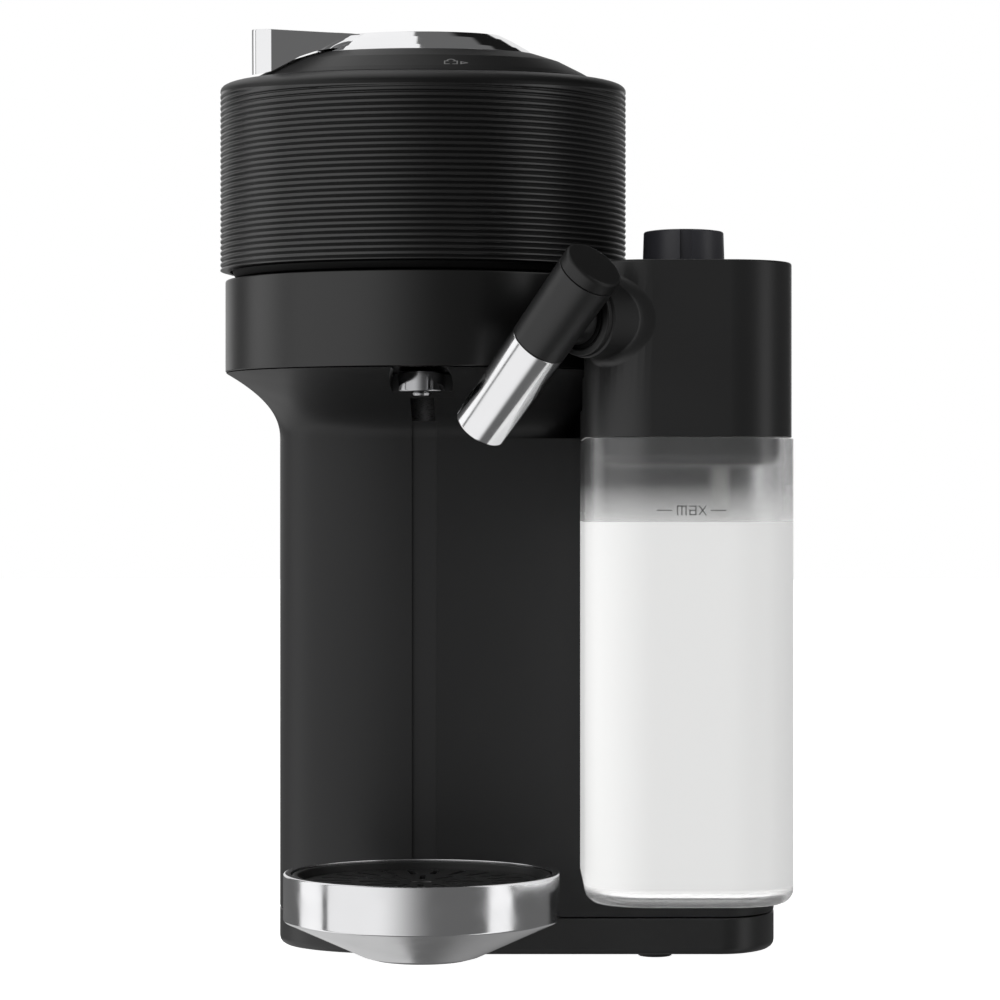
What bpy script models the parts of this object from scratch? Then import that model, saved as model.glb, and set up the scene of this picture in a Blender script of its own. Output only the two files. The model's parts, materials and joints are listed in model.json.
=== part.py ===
"""Pod coffee machine with a docked milk unit, every piece its own solid.

Lengths in this file are millimetres and become metres when a mesh is made.
Inside the machine frame, X = 0, Y = 0 is the upright axis of the round brew head,
-Y is the front, +X the side of the milk unit and Z = 0 the table.
"""

import math

import bmesh
import bpy
from mathutils import Matrix, Vector

MM = 0.001
ROUND = 30  # sides of a large round piece
GAP = 0.3  # between pieces that touch

# The head axis, seen from the middle of the machine's footprint.
HEAD_X, HEAD_Y = -27.9, -99.2

# Base and feet
BASE_BOTTOM, BASE_TOP = 2.75, 15.9
FOOT_R = 6.2

# Body: a column on the left, a steam module behind the milk jug
BODY_LEFT, BODY_RIGHT, BODY_FRONT = -54.0, 126.7, 20.0
BODY_REAR, MODULE_REAR = 172.0, 243.0
MODULE_LEFT = 54.0
BODY_BOTTOM, SHOULDER_Z, BODY_TOP = 16.3, 187.0, 240.0
FRONT_BULGE = 43.0  # depth of the column's rounded front
BULGE_POWER = 2.3
MODULE_X, MODULE_Y, MODULE_BEND = 106.0, 51.0, 31.0  # the module's rounded front corner
UPPER_FRONT = 72.6  # front of the body above the shoulder, behind the head
REAR_BEND = 10.0
WALL = 2.6

# Neck: flares from the column's outline to the ring
NECK_REAR = 71.8
NECK_RIGHT_POWER = 6.0  # its squarer right half, beside the module
NECK_CURVE = 2.4  # the share of the flare is this power of the height's share
NECK_WALL = 3.0
NECK_INNER_REAR = 66.0

# Brew head
DRUM_R, DRUM_BOTTOM, DRUM_TOP = 71.0, 244.5, 307.7
RING_R, RING_BOTTOM, RING_TOP = 69.2, 209.5, 241.5
DECK_Z = 236.0
TILT = math.radians(3.7)
CROWN_Z = 312.7  # where the tilted top plane crosses the head axis
HINGE_Y, HINGE_Z = 80.0, 247.0
LEVER_TOP = 14.9  # over the tilted plane
WING_DROP, WING_RISE = 0.3, 0.9  # of its wing's top, at the ring and at its tip

# Capsule drive
MOTOR_Y = 47.0
CUP_PULLEY_R, MOTOR_PULLEY_R = 32.8, 8.8
PULLEY_LOW, PULLEY_HIGH = 211.4, 219.0

# Coffee spout
SPOUT_Y = -28.0
SPOUT_BLOCK_R, SPOUT_RECESS_R = 13.0, 10.8  # the neck's solid block and the recess in it
SPOUT_CEILING = 207.0

# Cup support
TRAY_Y, TRAY_R, TRAY_TOP = -29.5, 47.3, 37.5

# Milk unit
JUG_LEFT, JUG_RIGHT, JUG_FRONT, JUG_REAR = 55.2, 124.7, -76.0, 15.0
JUG_BOTTOM, LID_BOTTOM, LID_ROOF, LID_TOP = 30.0, 185.9, 238.4, 244.4
JUG_CORNER, JUG_WALL, LID_WALL = 22.0, 2.2, 3.0
JUG_GROW = 0.6  # the jug's right side beyond the lid's
HEAD_RELIEF_R, HEAD_RELIEF_X = 73.5, 73.5
NECK_RELIEF_Z, RING_RELIEF_Z = 196.0, 206.5  # where the lid makes room for the neck, then for the ring
KNOB_X, KNOB_Y, KNOB_R, KNOB_TOP = 90.0, -25.0, 14.1, 257.5
STEAM_X, STEAM_Z = 100.0, 215.0

# Milk spout: a tube turning on a stub that leaves the lid's front corner
SPOUT_PIVOT = Vector((45.6, -87.0, 224.6))
SPOUT_AXIS = Vector((-0.70, -0.714, 0.0)).normalized()
SPOUT_LENGTH, SPOUT_ABOVE, SPOUT_DARK, SPOUT_CAP = 73.8, 23.6, 35.0, 4.7
SPOUT_TOP_R, SPOUT_END_R = 10.25, 9.15
COLLAR_R, COLLAR_GAP = 12.5, 10.6
BOSS_ROOT = 32.0  # depth of the lid's boss behind the tube's axis

# Water tank and capsule bin
TANK_LEFT, TANK_RIGHT, TANK_FRONT, TANK_REAR = -52.0, 124.7, 246.5, 304.0
TANK_BOTTOM, TANK_TOP, TANK_CORNER = 21.9, 214.0, 28.0
VALVE_X, VALVE_Y = 36.0, 276.0
BIN_LEFT, BIN_RIGHT, BIN_FRONT, BIN_REAR = -53.7, 51.0, 175.3, 243.0
BIN_BOTTOM, BIN_TOP = 16.3, 235.0
CHUTE_HALF = 36.0


# Outlines, as lists of (x, y) running anticlockwise


def arc(cx, cy, rx, ry, start, stop, steps):
    """Points on an elliptical arc, angles in degrees."""
    angles = [math.radians(start + (stop - start) * i / steps) for i in range(steps + 1)]
    return [(cx + rx * math.cos(a), cy + ry * math.sin(a)) for a in angles]


def rounded_box(x0, x1, y0, y1, front, rear, inset=0.0, steps=5):
    """A rectangle with its two front corners and its two rear corners rounded."""
    x0, x1, y0, y1 = x0 + inset, x1 - inset, y0 + inset, y1 - inset
    front, rear = max(front - inset, 0.5), max(rear - inset, 0.5)
    points = arc(x0 + front, y0 + front, front, front, 180, 270, steps)
    points += arc(x1 - front, y0 + front, front, front, 270, 360, steps)
    points += arc(x1 - rear, y1 - rear, rear, rear, 0, 90, steps)
    points += arc(x0 + rear, y1 - rear, rear, rear, 90, 180, steps)
    return points


def bulge(inset=0.0, steps=9, side=-1, power=BULGE_POWER):
    """The column's rounded front, from its side to its middle, as a superellipse quarter."""
    half, depth = -BODY_LEFT - inset, FRONT_BULGE - inset
    middle_y = BODY_FRONT + FRONT_BULGE
    points = []
    for i in range(steps + 1):
        angle = math.pi / 2 * i / steps
        x = half * math.cos(angle) ** (2 / power)
        y = depth * math.sin(angle) ** (2 / power)
        points.append((side * x, middle_y - y))
    return points


def module_corner(inset):
    """The module's rounded front-right corner."""
    return arc(MODULE_X, MODULE_Y, BODY_RIGHT - MODULE_X - inset, MODULE_BEND - inset, 270, 360, 6)


def rear_corner(inset):
    """The module's rounded rear corner."""
    bend = REAR_BEND - inset
    return arc(BODY_RIGHT - REAR_BEND, MODULE_REAR - REAR_BEND, bend, bend, 0, 90, 3)


def lower_outline(inset=0.0):
    """Column and module together, with the notch behind the column that holds the bin."""
    rear = MODULE_REAR - inset
    points = bulge(inset)
    points += module_corner(inset)
    points += rear_corner(inset)
    points += [(MODULE_LEFT + inset, rear), (MODULE_LEFT + inset, BODY_REAR - inset)]
    points += [(BODY_LEFT + inset, BODY_REAR - inset)]
    return points


def upper_outline(inset=0.0):
    """The part of the body above the shoulder, behind and beside the capsule housing."""
    front, side = UPPER_FRONT + inset, HEAD_RELIEF_X + inset
    points = [(BODY_LEFT + inset, front), (side, front), (side, BODY_FRONT + inset)]
    points += module_corner(inset)
    points += rear_corner(inset)
    points += [(MODULE_LEFT + inset, MODULE_REAR - inset), (MODULE_LEFT + inset, BODY_REAR - inset)]
    points += [(BODY_LEFT + inset, BODY_REAR - inset)]
    return points


def base_outline(inset=0.0):
    """The footprint of the whole machine without its milk unit and cup support."""
    rear = TANK_REAR + 0.6
    points = bulge(inset)
    points += module_corner(inset)
    corner = TANK_CORNER - inset
    points += arc(BODY_RIGHT - TANK_CORNER, rear - TANK_CORNER, corner, corner, 0, 90, 5)
    points += arc(BODY_LEFT + TANK_CORNER, rear - TANK_CORNER, corner, corner, 90, 180, 5)
    return points


def neck_outline(inset=0.0, rear=NECK_REAR, steps=10):
    """The foot of the neck, where it meets the column, with a flat rear."""
    left = bulge(inset, steps, -1)
    right = bulge(inset, steps, 1, NECK_RIGHT_POWER)[-2::-1]
    side = min(-BODY_LEFT - inset, -BODY_LEFT + 2 * (rear - NECK_REAR))
    rear_points = [(side, rear - 3), (side, rear), (0.0, rear), (-side, rear), (-side, rear - 3)]
    return left + right + rear_points


def neck_circle(radius, steps=10):
    """As many points as neck_outline, on a circle round the head axis."""
    points = arc(0, 0, radius, radius, 180, 360, 2 * steps)
    return points + arc(0, 0, radius, radius, 30, 150, 4)


def neck_section(z, height, inset=0.0, rear=NECK_REAR, radius=RING_R - GAP):
    """The neck at a height: the column's outline below, the ring's circle on top."""
    low, high = SHOULDER_Z + GAP, RING_BOTTOM - GAP
    share = ((height - low) / (high - low)) ** NECK_CURVE
    pairs = zip(neck_outline(inset, rear), neck_circle(radius))
    return [(a + (c - a) * share, b + (d - b) * share, z) for (a, b), (c, d) in pairs]


def jug_outline(inset=0.0, grow=0.0):
    return rounded_box(JUG_LEFT, JUG_RIGHT + grow, JUG_FRONT, JUG_REAR, JUG_CORNER, 7.0, inset)


# Meshes


def finish_mesh(bm, matrix=None):
    """Faces turned outwards, millimetres made metres."""
    bmesh.ops.recalc_face_normals(bm, faces=bm.faces)
    if matrix is not None:
        bmesh.ops.transform(bm, matrix=matrix, verts=bm.verts)
    bmesh.ops.scale(bm, vec=(MM, MM, MM), verts=bm.verts)
    return bm


def loft(sections, matrix=None):
    """A closed solid through sections, each a list of points with the same count."""
    bm = bmesh.new()
    rings = [[bm.verts.new(point) for point in section] for section in sections]
    count = len(rings[0])
    for low, high in zip(rings, rings[1:]):
        for i in range(count):
            j = (i + 1) % count
            bm.faces.new((low[i], low[j], high[j], high[i]))
    bm.faces.new(rings[0])
    bm.faces.new(rings[-1])
    return finish_mesh(bm, matrix)


def level(outline, z):
    return [(x, y, z) for x, y in outline]


def prism(outline, z0, z1, matrix=None):
    """An outline in the XY plane raised from z0 to z1."""
    return loft([level(outline, z0), level(outline, z1)], matrix)


def block(x0, x1, y0, y1, z0, z1):
    return prism([(x0, y0), (x1, y0), (x1, y1), (x0, y1)], z0, z1)


def side_prism(outline, x0, x1):
    """An outline of (y, z) points drawn out along X."""
    return loft([[(x0, y, z) for y, z in outline], [(x1, y, z) for y, z in outline]])


def turned(profile, segments=ROUND, matrix=None):
    """A closed profile of (radius, z) points turned about Z; a radius of 0 is on the axis."""
    bm = bmesh.new()
    rings = []
    for radius, z in profile:
        if radius == 0:
            rings.append([bm.verts.new((0, 0, z))])
            continue
        angles = [2 * math.pi * i / segments for i in range(segments)]
        rings.append([bm.verts.new((radius * math.cos(a), radius * math.sin(a), z)) for a in angles])
    for low, high in zip(rings, rings[1:] + rings[:1]):
        for i in range(segments):
            j = (i + 1) % segments
            corners = [low[i % len(low)], low[j % len(low)], high[j % len(high)], high[i % len(high)]]
            corners = list(dict.fromkeys(corners))
            if len(corners) > 2:
                bm.faces.new(corners)
    return finish_mesh(bm, matrix)


def disc(radius, z0, z1, x=0.0, y=0.0, segments=ROUND):
    """A plain round solid standing at (x, y)."""
    place = Matrix.Translation((x, y, 0))
    return turned([(0, z1), (radius, z1), (radius, z0), (0, z0)], segments, place)


def along(point, direction):
    """Turns +Z to a direction and moves the origin to a point."""
    turn = Vector((0, 0, 1)).rotation_difference(Vector(direction)).to_matrix().to_4x4()
    return Matrix.Translation(point) @ turn


def smooth_points(points, per_span=4):
    """A Catmull-Rom curve through points."""
    way = [Vector(p) for p in points]
    way = [2 * way[0] - way[1]] + way + [2 * way[-1] - way[-2]]
    made = []
    for a, b, c, d in zip(way, way[1:], way[2:], way[3:]):
        for i in range(per_span):
            t = i / per_span
            bend = 2 * a - 5 * b + 4 * c - d
            twist = 3 * b - a - 3 * c + d
            made.append(0.5 * (2 * b + (c - a) * t + bend * t**2 + twist * t**3))
    return made + [way[-2]]


# Objects


def material(name, colour, roughness, metallic=0.0, alpha=1.0):
    made = bpy.data.materials.get(name)
    if made:
        return made
    made = bpy.data.materials.new(name)
    made.use_nodes = True
    shader = made.node_tree.nodes["Principled BSDF"]
    shader.inputs["Base Color"].default_value = (*colour, 1.0)
    shader.inputs["Roughness"].default_value = roughness
    shader.inputs["Metallic"].default_value = metallic
    shader.inputs["Alpha"].default_value = alpha
    return made


def dark_shell():
    return material("dark_shell", (0.031, 0.031, 0.032), 0.45)


def ribbed_black():
    return material("ribbed_black", (0.035, 0.035, 0.035), 0.38)


def gloss_black():
    return material("gloss_black", (0.01, 0.01, 0.01), 0.12)


def chrome():
    return material("chrome", (0.78, 0.78, 0.79), 0.08, 1.0)


def knob_grey():
    return material("knob_grey", (0.042, 0.042, 0.052), 0.4)


def jug_clear():
    return material("jug_clear", (0.72, 0.73, 0.74), 0.25, 0.0, 0.45)


def tank_smoke():
    return material("tank_smoke", (0.25, 0.26, 0.27), 0.12, 0.0, 0.5)


def rubber():
    return material("rubber", (0.02, 0.02, 0.02), 0.85)


def inner_plastic():
    return material("inner_plastic", (0.16, 0.16, 0.165), 0.6)


def steel():
    return material("steel", (0.5, 0.5, 0.51), 0.35, 1.0)


def cast_metal():
    return material("cast_metal", (0.4, 0.41, 0.42), 0.5, 0.9)


def board_green():
    return material("board_green", (0.02, 0.16, 0.07), 0.5)


def hose_white():
    return material("hose_white", (0.75, 0.75, 0.73), 0.5)


def machine_frame():
    """An empty on the table under the head axis; everything hangs on it."""
    frame = bpy.data.objects.get("machine_frame")
    if frame is None:
        frame = bpy.data.objects.new("machine_frame", None)
        bpy.context.collection.objects.link(frame)
        frame.location = (HEAD_X * MM, HEAD_Y * MM, 0)
    return frame


def axis_empty(name, location, rotation=(0, 0, 0)):
    """An empty on a joint's axis, to which a moving piece belongs."""
    empty = bpy.data.objects.new(name, None)
    bpy.context.collection.objects.link(empty)
    empty.parent = machine_frame()
    empty.location = [value * MM for value in location]
    empty.rotation_euler = rotation
    return empty


def link(name, bm, parent=None):
    mesh = bpy.data.meshes.new(name)
    bm.to_mesh(mesh)
    bm.free()
    mesh.shade_smooth()
    mesh.set_sharp_from_angle(angle=math.radians(32))
    made = bpy.data.objects.new(name, mesh)
    bpy.context.collection.objects.link(made)
    made.parent = parent or machine_frame()
    return made


def piece(name, bm, finish, parent=None):
    """A named sub-part with its own finish."""
    made = link(name, bm, parent)
    made.data.materials.append(finish)
    return made


def set_origin(made, point):
    """Moves a piece's origin onto its joint's axis and leaves the piece where it is."""
    shift = Vector(point) * MM
    made.data.transform(Matrix.Translation(-shift))
    made.location = shift
    return made


def helper(owner, bm, operation):
    """A hidden solid, handed back, that a Boolean takes from its owner or adds to it."""
    count = len([m for m in owner.modifiers if m.type == "BOOLEAN"])
    made = link(f"{owner.name}_{operation.lower()}_{count}", bm, owner.parent)
    made.location = owner.location
    made.data.transform(Matrix.Translation(-owner.location))
    made.hide_render = True
    made.display_type = "WIRE"
    modifier = owner.modifiers.new(made.name, "BOOLEAN")
    modifier.operation = operation
    modifier.solver = "EXACT"
    modifier.object = made
    return made


def cut(owner, bm):
    return helper(owner, bm, "DIFFERENCE")


def join(owner, bm):
    return helper(owner, bm, "UNION")


def hose(name, points, radius, finish):
    """A tube along a smooth route, closed at both ends."""
    curve = bpy.data.curves.new(name, "CURVE")
    curve.dimensions = "3D"
    spline = curve.splines.new("POLY")
    route = smooth_points(points)
    spline.points.add(len(route) - 1)
    for target, point in zip(spline.points, route):
        target.co = (*(point * MM), 1)
    curve.bevel_depth = radius * MM
    curve.bevel_resolution = 2
    curve.use_fill_caps = True
    made = bpy.data.objects.new(name, curve)
    bpy.context.collection.objects.link(made)
    made.parent = machine_frame()
    made.data.materials.append(finish)
    return made


# The base


def base_plate():
    heights = [(BASE_BOTTOM, 3.4), (4.4, 1.4), (7.5, 0.5), (BASE_TOP, 0.0)]
    plate = piece("base_plate", loft([level(base_outline(i), z) for z, i in heights]), dark_shell())
    cut(plate, prism(rounded_box(-46, 120, 32, 166, 24, 8), 6.0, 20.0))
    gland_place = along((110.0, TANK_REAR + 3, 9.4), (0, -1, 0))
    cut(plate, turned([(0, 20), (5.4, 20), (5.4, -1), (0, -1)], 20, gland_place))


def feet():
    places = {
        "foot_front_left": (-8.0, 41.0),
        "foot_front_right": (83.0, 41.0),
        "foot_rear_left": (-36.0, 286.0),
        "foot_rear_right": (108.0, 286.0),
    }
    for name, (x, y) in places.items():
        profile = [(0, 2.45), (FOOT_R, 2.45), (FOOT_R, 0.6), (FOOT_R - 0.6, 0), (0, 0)]
        piece(name, turned(profile, 20, Matrix.Translation((x, y, 0))), rubber())


def cord_gland():
    """The mains inlet's bush at the rear of the base."""
    profile = [(0, 18), (5.1, 18), (5.1, 0.3), (6.4, 0.3), (6.4, -1.0), (3.4, -2.0), (0, -2.0)]
    place = along((110.0, TANK_REAR + 1.2, 9.4), (0, -1, 0))
    piece("cord_gland", turned(profile, 20, place), rubber())


# The body


def body_shell():
    shell = piece("body_shell", prism(lower_outline(), BODY_BOTTOM, SHOULDER_Z), dark_shell())
    join(shell, prism(upper_outline(), SHOULDER_Z - 6, BODY_TOP))
    cut(shell, prism(lower_outline(WALL), BODY_BOTTOM - 6, SHOULDER_Z - WALL))
    cut(shell, prism(upper_outline(WALL), SHOULDER_Z - 12, BODY_TOP - WALL))
    cut(shell, prism(neck_outline(3.2, 68.6), SHOULDER_Z - 8, SHOULDER_Z + 2))
    chute = CHUTE_HALF + GAP
    cut(shell, block(-chute, chute, 88, BODY_REAR + 3, 213.7, BODY_TOP + 5))
    cut(shell, block(-16, 16, 10, 40, 23, 35))
    cut(shell, turned([(0, 40), (9, 40), (9, 0), (0, 0)], 24, along((STEAM_X, 5, STEAM_Z), (0, 1, 0))))


def neck_shell():
    heights = [SHOULDER_Z + GAP, 194.0, 199.0, 203.0, 206.0, RING_BOTTOM - GAP]
    neck = piece("neck_shell", loft([neck_section(z, z) for z in heights]), dark_shell())
    inner = [level(neck_outline(NECK_WALL, NECK_INNER_REAR), SHOULDER_Z - 4)]
    for z in heights:
        inner.append(neck_section(z + NECK_WALL, z, NECK_WALL, NECK_INNER_REAR, RING_R - NECK_WALL))
    hollow = cut(neck, loft(inner))
    cut(hollow, disc(SPOUT_BLOCK_R, 180, 208.4, 0, SPOUT_Y, 28))
    cut(neck, disc(SPOUT_RECESS_R, 180, SPOUT_CEILING, 0, SPOUT_Y, 28))
    cut(neck, disc(5.4, 200, 212, 0, SPOUT_Y, 20))


def capsule_housing():
    """The smooth ring under the gap, with the deck round the capsule cup."""
    profile = [(RING_R, RING_TOP), (RING_R, RING_BOTTOM), (66.4, RING_BOTTOM), (66.4, 232.5)]
    profile += [(34.9, 232.5), (34.9, DECK_Z), (65.8, DECK_Z), (65.8, RING_TOP)]
    piece("capsule_housing", turned(profile, 36), dark_shell())


def coffee_spout():
    profile = [(0, 208.2), (5.0, 208.2), (5.0, SPOUT_CEILING - GAP), (8.0, SPOUT_CEILING - GAP)]
    profile += [(8.0, 202.6), (7.4, 202.0)]
    profile += [(2.8, 202.0), (2.5, 200.7), (0, 200.7)]
    piece("coffee_spout", turned(profile, 16, Matrix.Translation((0, SPOUT_Y, 0))), steel())


def inner_frame():
    """An upright plate that carries the motor on a shelf."""
    outline = [(34, 145), (84, 145), (84, 16.6), (87, 16.6), (87, 200), (84, 200), (84, 148), (34, 148)]
    piece("inner_frame", side_prism(outline, -22, 22), inner_plastic())


def capsule_chute():
    """The tunnel that carries a used capsule from behind the head to the bin."""
    width = CHUTE_HALF
    chute = piece("capsule_chute", block(-width, width, 88.3, 174.9, 214.0, BODY_TOP), dark_shell())
    slope = [(90.5, 228), (176, 216), (176, 237.6), (90.5, 237.6)]
    cut(chute, side_prism(slope, -width + 2, width - 2))
    cut(chute, block(-width + 2, width - 2, 90.5, 112, 231, 245))


def hinge_bracket():
    """Two ears that hold the head's hinge pin."""
    plate = piece("hinge_bracket", block(-30, 30, 74, 86, BODY_TOP + GAP, 242.0), cast_metal())
    ear = arc(HINGE_Y, HINGE_Z, 5, 5, 0, 180, 8) + [(75, 241), (85, 241)]
    join(plate, side_prism(ear, 24.5, 30))
    join(plate, side_prism(ear, -30, -24.5))
    cut(plate, pin_solid(2.35, 40))


def pin_solid(radius, half, segments=16):
    profile = [(0, 2 * half), (radius, 2 * half), (radius, 0), (0, 0)]
    return turned(profile, segments, along((-half, HINGE_Y, HINGE_Z), (1, 0, 0)))


def hinge_pin():
    piece("hinge_pin", pin_solid(2.0, 32), steel())


def steam_socket():
    """The bush in the module's front that the lid's steam nozzle plugs into."""
    profile = [(8.6, 0), (8.6, 17), (0, 17), (0, 14.5), (6.3, 14.5), (6.3, 0)]
    place = along((STEAM_X, BODY_FRONT - 0.5, STEAM_Z), (0, 1, 0))
    piece("steam_socket", turned(profile, 24, place), gloss_black())


# The drive and the water path


def cup_bearing():
    profile = [(13, 208.8), (13, 205.8), (8.4, 205.8), (8.4, 208.8)]
    piece("cup_bearing", turned(profile, 24), steel())


def drive_motor():
    profile = [(0, 207), (6, 207), (6, 204.6), (15, 204.6), (15, 148.4), (0, 148.4)]
    piece("drive_motor", turned(profile, 20, Matrix.Translation((0, MOTOR_Y, 0))), steel())


def belt_outline(extra):
    """Two arcs round the pulleys, joined by their outer tangents."""
    large, small = CUP_PULLEY_R + extra, MOTOR_PULLEY_R + extra
    lean = math.degrees(math.acos((large - small) / MOTOR_Y))
    points = arc(0, 0, large, large, 90 + lean, 450 - lean, 32)
    return points + arc(0, MOTOR_Y, small, small, 90 - lean, 90 + lean, 10)


def drive_belt():
    low, high = PULLEY_LOW + 2.1, PULLEY_HIGH - 2.1
    belt = piece("drive_belt", prism(belt_outline(1.5), low, high), rubber())
    cut(belt, prism(belt_outline(GAP), low - 2, high + 2))


def pulley_profile(radius):
    """Half of a flat belt pulley, from its top flange down."""
    rim = radius + 1.2
    low, high = PULLEY_LOW, PULLEY_HIGH
    return [(rim, high), (rim, high - 1.8), (radius, high - 1.8), (radius, low + 1.8), (rim, low + 1.8), (rim, low)]


def motor_pulley():
    profile = [(0, PULLEY_HIGH)] + pulley_profile(MOTOR_PULLEY_R)
    profile += [(2.5, PULLEY_LOW), (2.5, 207.4), (0, 207.4)]
    made = piece("motor_pulley", turned(profile, 24, Matrix.Translation((0, MOTOR_Y, 0))), steel())
    set_origin(made, (0, MOTOR_Y, PULLEY_LOW))


def capsule_cup():
    """The spinning cup that a capsule drops into, with its belt pulley and its hub."""
    profile = [(29, DECK_Z), (33.8, DECK_Z), (33.8, 233.4), (31.5, 233.4), (31.5, PULLEY_HIGH)]
    profile += pulley_profile(CUP_PULLEY_R)
    profile += [(28, 209.2), (8, 209.2), (8, 205.4), (0, 205.4), (0, 212.4), (23, 212.4), (28.4, 224)]
    set_origin(piece("capsule_cup", turned(profile, 28), steel()), (0, 0, DECK_Z))


def water_pump():
    profile = [(0, 84), (5, 84), (5, 74), (12, 74), (12, 62), (17, 62), (17, 22), (12, 22), (12, 10)]
    profile += [(5, 10), (5, 0), (0, 0)]
    piece("water_pump", turned(profile, 18, along((-38, 130, 42), (1, 0, 0))), cast_metal())


def thermoblock():
    outline = rounded_box(-30, 30, 92, 128, 5, 5, steps=3)
    piece("thermoblock", prism(outline, 80, 170), cast_metal())


def steam_unit():
    profile = [(0, 178), (5, 178), (5, 172), (18, 172), (22, 166), (22, 64), (18, 58), (0, 58)]
    piece("steam_unit", turned(profile, 22, Matrix.Translation((92, 110, 0))), cast_metal())


def control_board():
    piece("control_board", block(60.0, 61.8, 60, 160, 62, 170), board_green())


def hoses():
    inlet = [(90, 236, 40), (90, 195, 40), (76, 158, 41), (62, 134, 42), (50, 130, 42)]
    hose("inlet_hose", inlet, 3.5, hose_white())
    pressure = [(-39.6, 130, 42), (-44.5, 129.5, 45), (-47, 124, 66), (-43, 112, 98), (-33.4, 110, 104)]
    hose("pressure_hose", pressure, 2.6, hose_white())
    steam = [(92, 110, 178.8), (92, 104, 196), (97, 80, 213), (STEAM_X, 52, STEAM_Z), (STEAM_X, 37, STEAM_Z)]
    hose("steam_hose", steam, 2.6, hose_white())


# The head


def tilted(z=0.0):
    """The tilted frame of the head's top, its origin on the head axis."""
    return Matrix.Translation((0, 0, CROWN_Z + z)) @ Matrix.Rotation(TILT, 4, "X")


def head_drum():
    profile = [(DRUM_R, DRUM_TOP), (DRUM_R, 299.0), (DRUM_R, 246.2), (69.4, DRUM_BOTTOM)]
    profile += [(67.6, DRUM_BOTTOM), (67.6, 299.0), (66.4, 304.6), (58.8, 309.0), (58.8, CROWN_Z)]
    profile += [(65.3, 311.5), (69.1, 310.0)]
    bm = turned(profile, 36)
    for vert in bm.verts:
        if vert.co.z > 300 * MM:
            vert.co.z += vert.co.y * math.tan(TILT)
    piece("head_drum", bm, ribbed_black())


def head_dome():
    profile = [(39, 8.3), (43.4, 7.0), (47.6, 5.6), (55.6, 1.6), (58.3, 0.1), (58.3, -2.8)]
    profile += [(55.0, -1.4), (47.0, 2.4), (43.0, 3.8), (39, 4.8)]
    piece("head_dome", turned(profile, ROUND, tilted()), gloss_black())


def head_floor():
    profile = [(66.8, 248.5), (66.8, 244.8), (65.6, 242.2), (32.2, 242.2), (32.2, 248.5)]
    piece("head_floor", turned(profile), inner_plastic())


def button_places():
    """Names and angles of the recipe buttons round the brew button."""
    return [("recipe_button_left", 232), ("recipe_button_middle", 270), ("recipe_button_right", 308)]


def top_panel():
    profile = [(0, 15.0), (14, 14.9), (25.4, 14.4), (25.4, 2.6), (36, 2.6), (36, -1), (0, -1)]
    panel = piece("top_panel", turned(profile, 28, tilted()), gloss_black())
    cut(panel, turned([(0, 20), (11.3, 20), (11.3, 8.8), (0, 8.8)], 20, tilted()))
    for _, angle in button_places():
        place = tilted() @ Matrix.Rotation(math.radians(angle), 4, "Z") @ Matrix.Translation((18.5, 0, 0))
        cut(panel, turned([(0, 20), (3.0, 20), (3.0, 9.8), (0, 9.8)], 12, place))


def brew_button():
    profile = [(0, 15.7), (8, 15.6), (10.4, 15.2), (10.9, 14.6), (10.9, 10.9), (0, 10.9)]
    parent = axis_empty("brew_button_axis", (0, 0, CROWN_Z), (TILT, 0, 0))
    piece("brew_button", turned(profile, 20), chrome(), parent)


def recipe_buttons():
    for name, angle in button_places():
        profile = [(0, 15.2), (2.0, 15.1), (2.6, 14.7), (2.6, 11.2), (0, 11.2)]
        parent = axis_empty(f"{name}_axis", (0, 0, CROWN_Z), (TILT, 0, 0))
        bm = turned(profile, 10)
        x, y = 18.5 * math.cos(math.radians(angle)), 18.5 * math.sin(math.radians(angle))
        bmesh.ops.translate(bm, vec=(x * MM, y * MM, 0), verts=bm.verts)
        piece(name, bm, gloss_black(), parent)


def crown_height(radius):
    """Height of the dome and shoulder over the tilted plane, at a distance from the axis."""
    points = [(38.4, 8.5), (43.4, 7.0), (47.6, 5.6), (55.6, 1.6), (58.9, 0.0), (65.3, -1.2), (71, -3.6)]
    if radius <= points[0][0]:
        return points[0][1]
    for (r0, z0), (r1, z1) in zip(points, points[1:]):
        if radius <= r1:
            return z0 + (z1 - z0) * (radius - r0) / (r1 - r0)
    return points[-1][1]


def wing_block():
    """The lever's wing: an upright front face, its underside following the crown."""
    root, tip = Vector((-21.6, -17.4)), Vector((-57.2, -28.6))
    back = Vector((-0.301, 0.954))
    steps, depth_steps = 6, 3
    sections = []
    for i in range(steps + 1):
        share = i / steps
        front = root.lerp(tip, share)
        width = 13.0 - 5.5 * share
        spots = [front + back * (width * j / depth_steps) for j in range(depth_steps + 1)]
        low = [(p.x, p.y, max(crown_height(p.length) + 0.9, -0.3)) for p in spots]
        top = LEVER_TOP - WING_DROP + (WING_DROP + WING_RISE) * share
        high = [(p.x, p.y, top) for p in reversed(spots)]
        sections.append(low + high)
    end = [(x + (-2.6 if 0 < k % 4 < 3 else -0.9), y - 0.3, z) for k, (x, y, z) in enumerate(sections[-1])]
    return loft(sections + [end])


def lever():
    """The chrome locking lever: a conical ring round the top panel and one wing."""
    parent = axis_empty("lever_axis", (0, 0, CROWN_Z), (TILT, 0, 0))
    profile = [(25.8, LEVER_TOP), (26.4, LEVER_TOP), (31, 12.9), (36.3, 9.9), (38.5, 8.5), (38.5, 4.0), (25.8, 4.0)]
    made = piece("lever", turned(profile), chrome(), parent)
    join(made, wing_block())


def hinge_arm():
    """The lug at the drum's rear with the hinge barrel."""
    outline = arc(HINGE_Y, HINGE_Z, 4.4, 4.4, -90, 45, 6) + [(77, 262), (71.6, 264), (71.6, 250), (76, 243)]
    arm = piece("hinge_arm", side_prism(outline, -24, 24), dark_shell())
    cut(arm, pin_solid(2.35, 40))
    set_origin(arm, (0, HINGE_Y, HINGE_Z))


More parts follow.
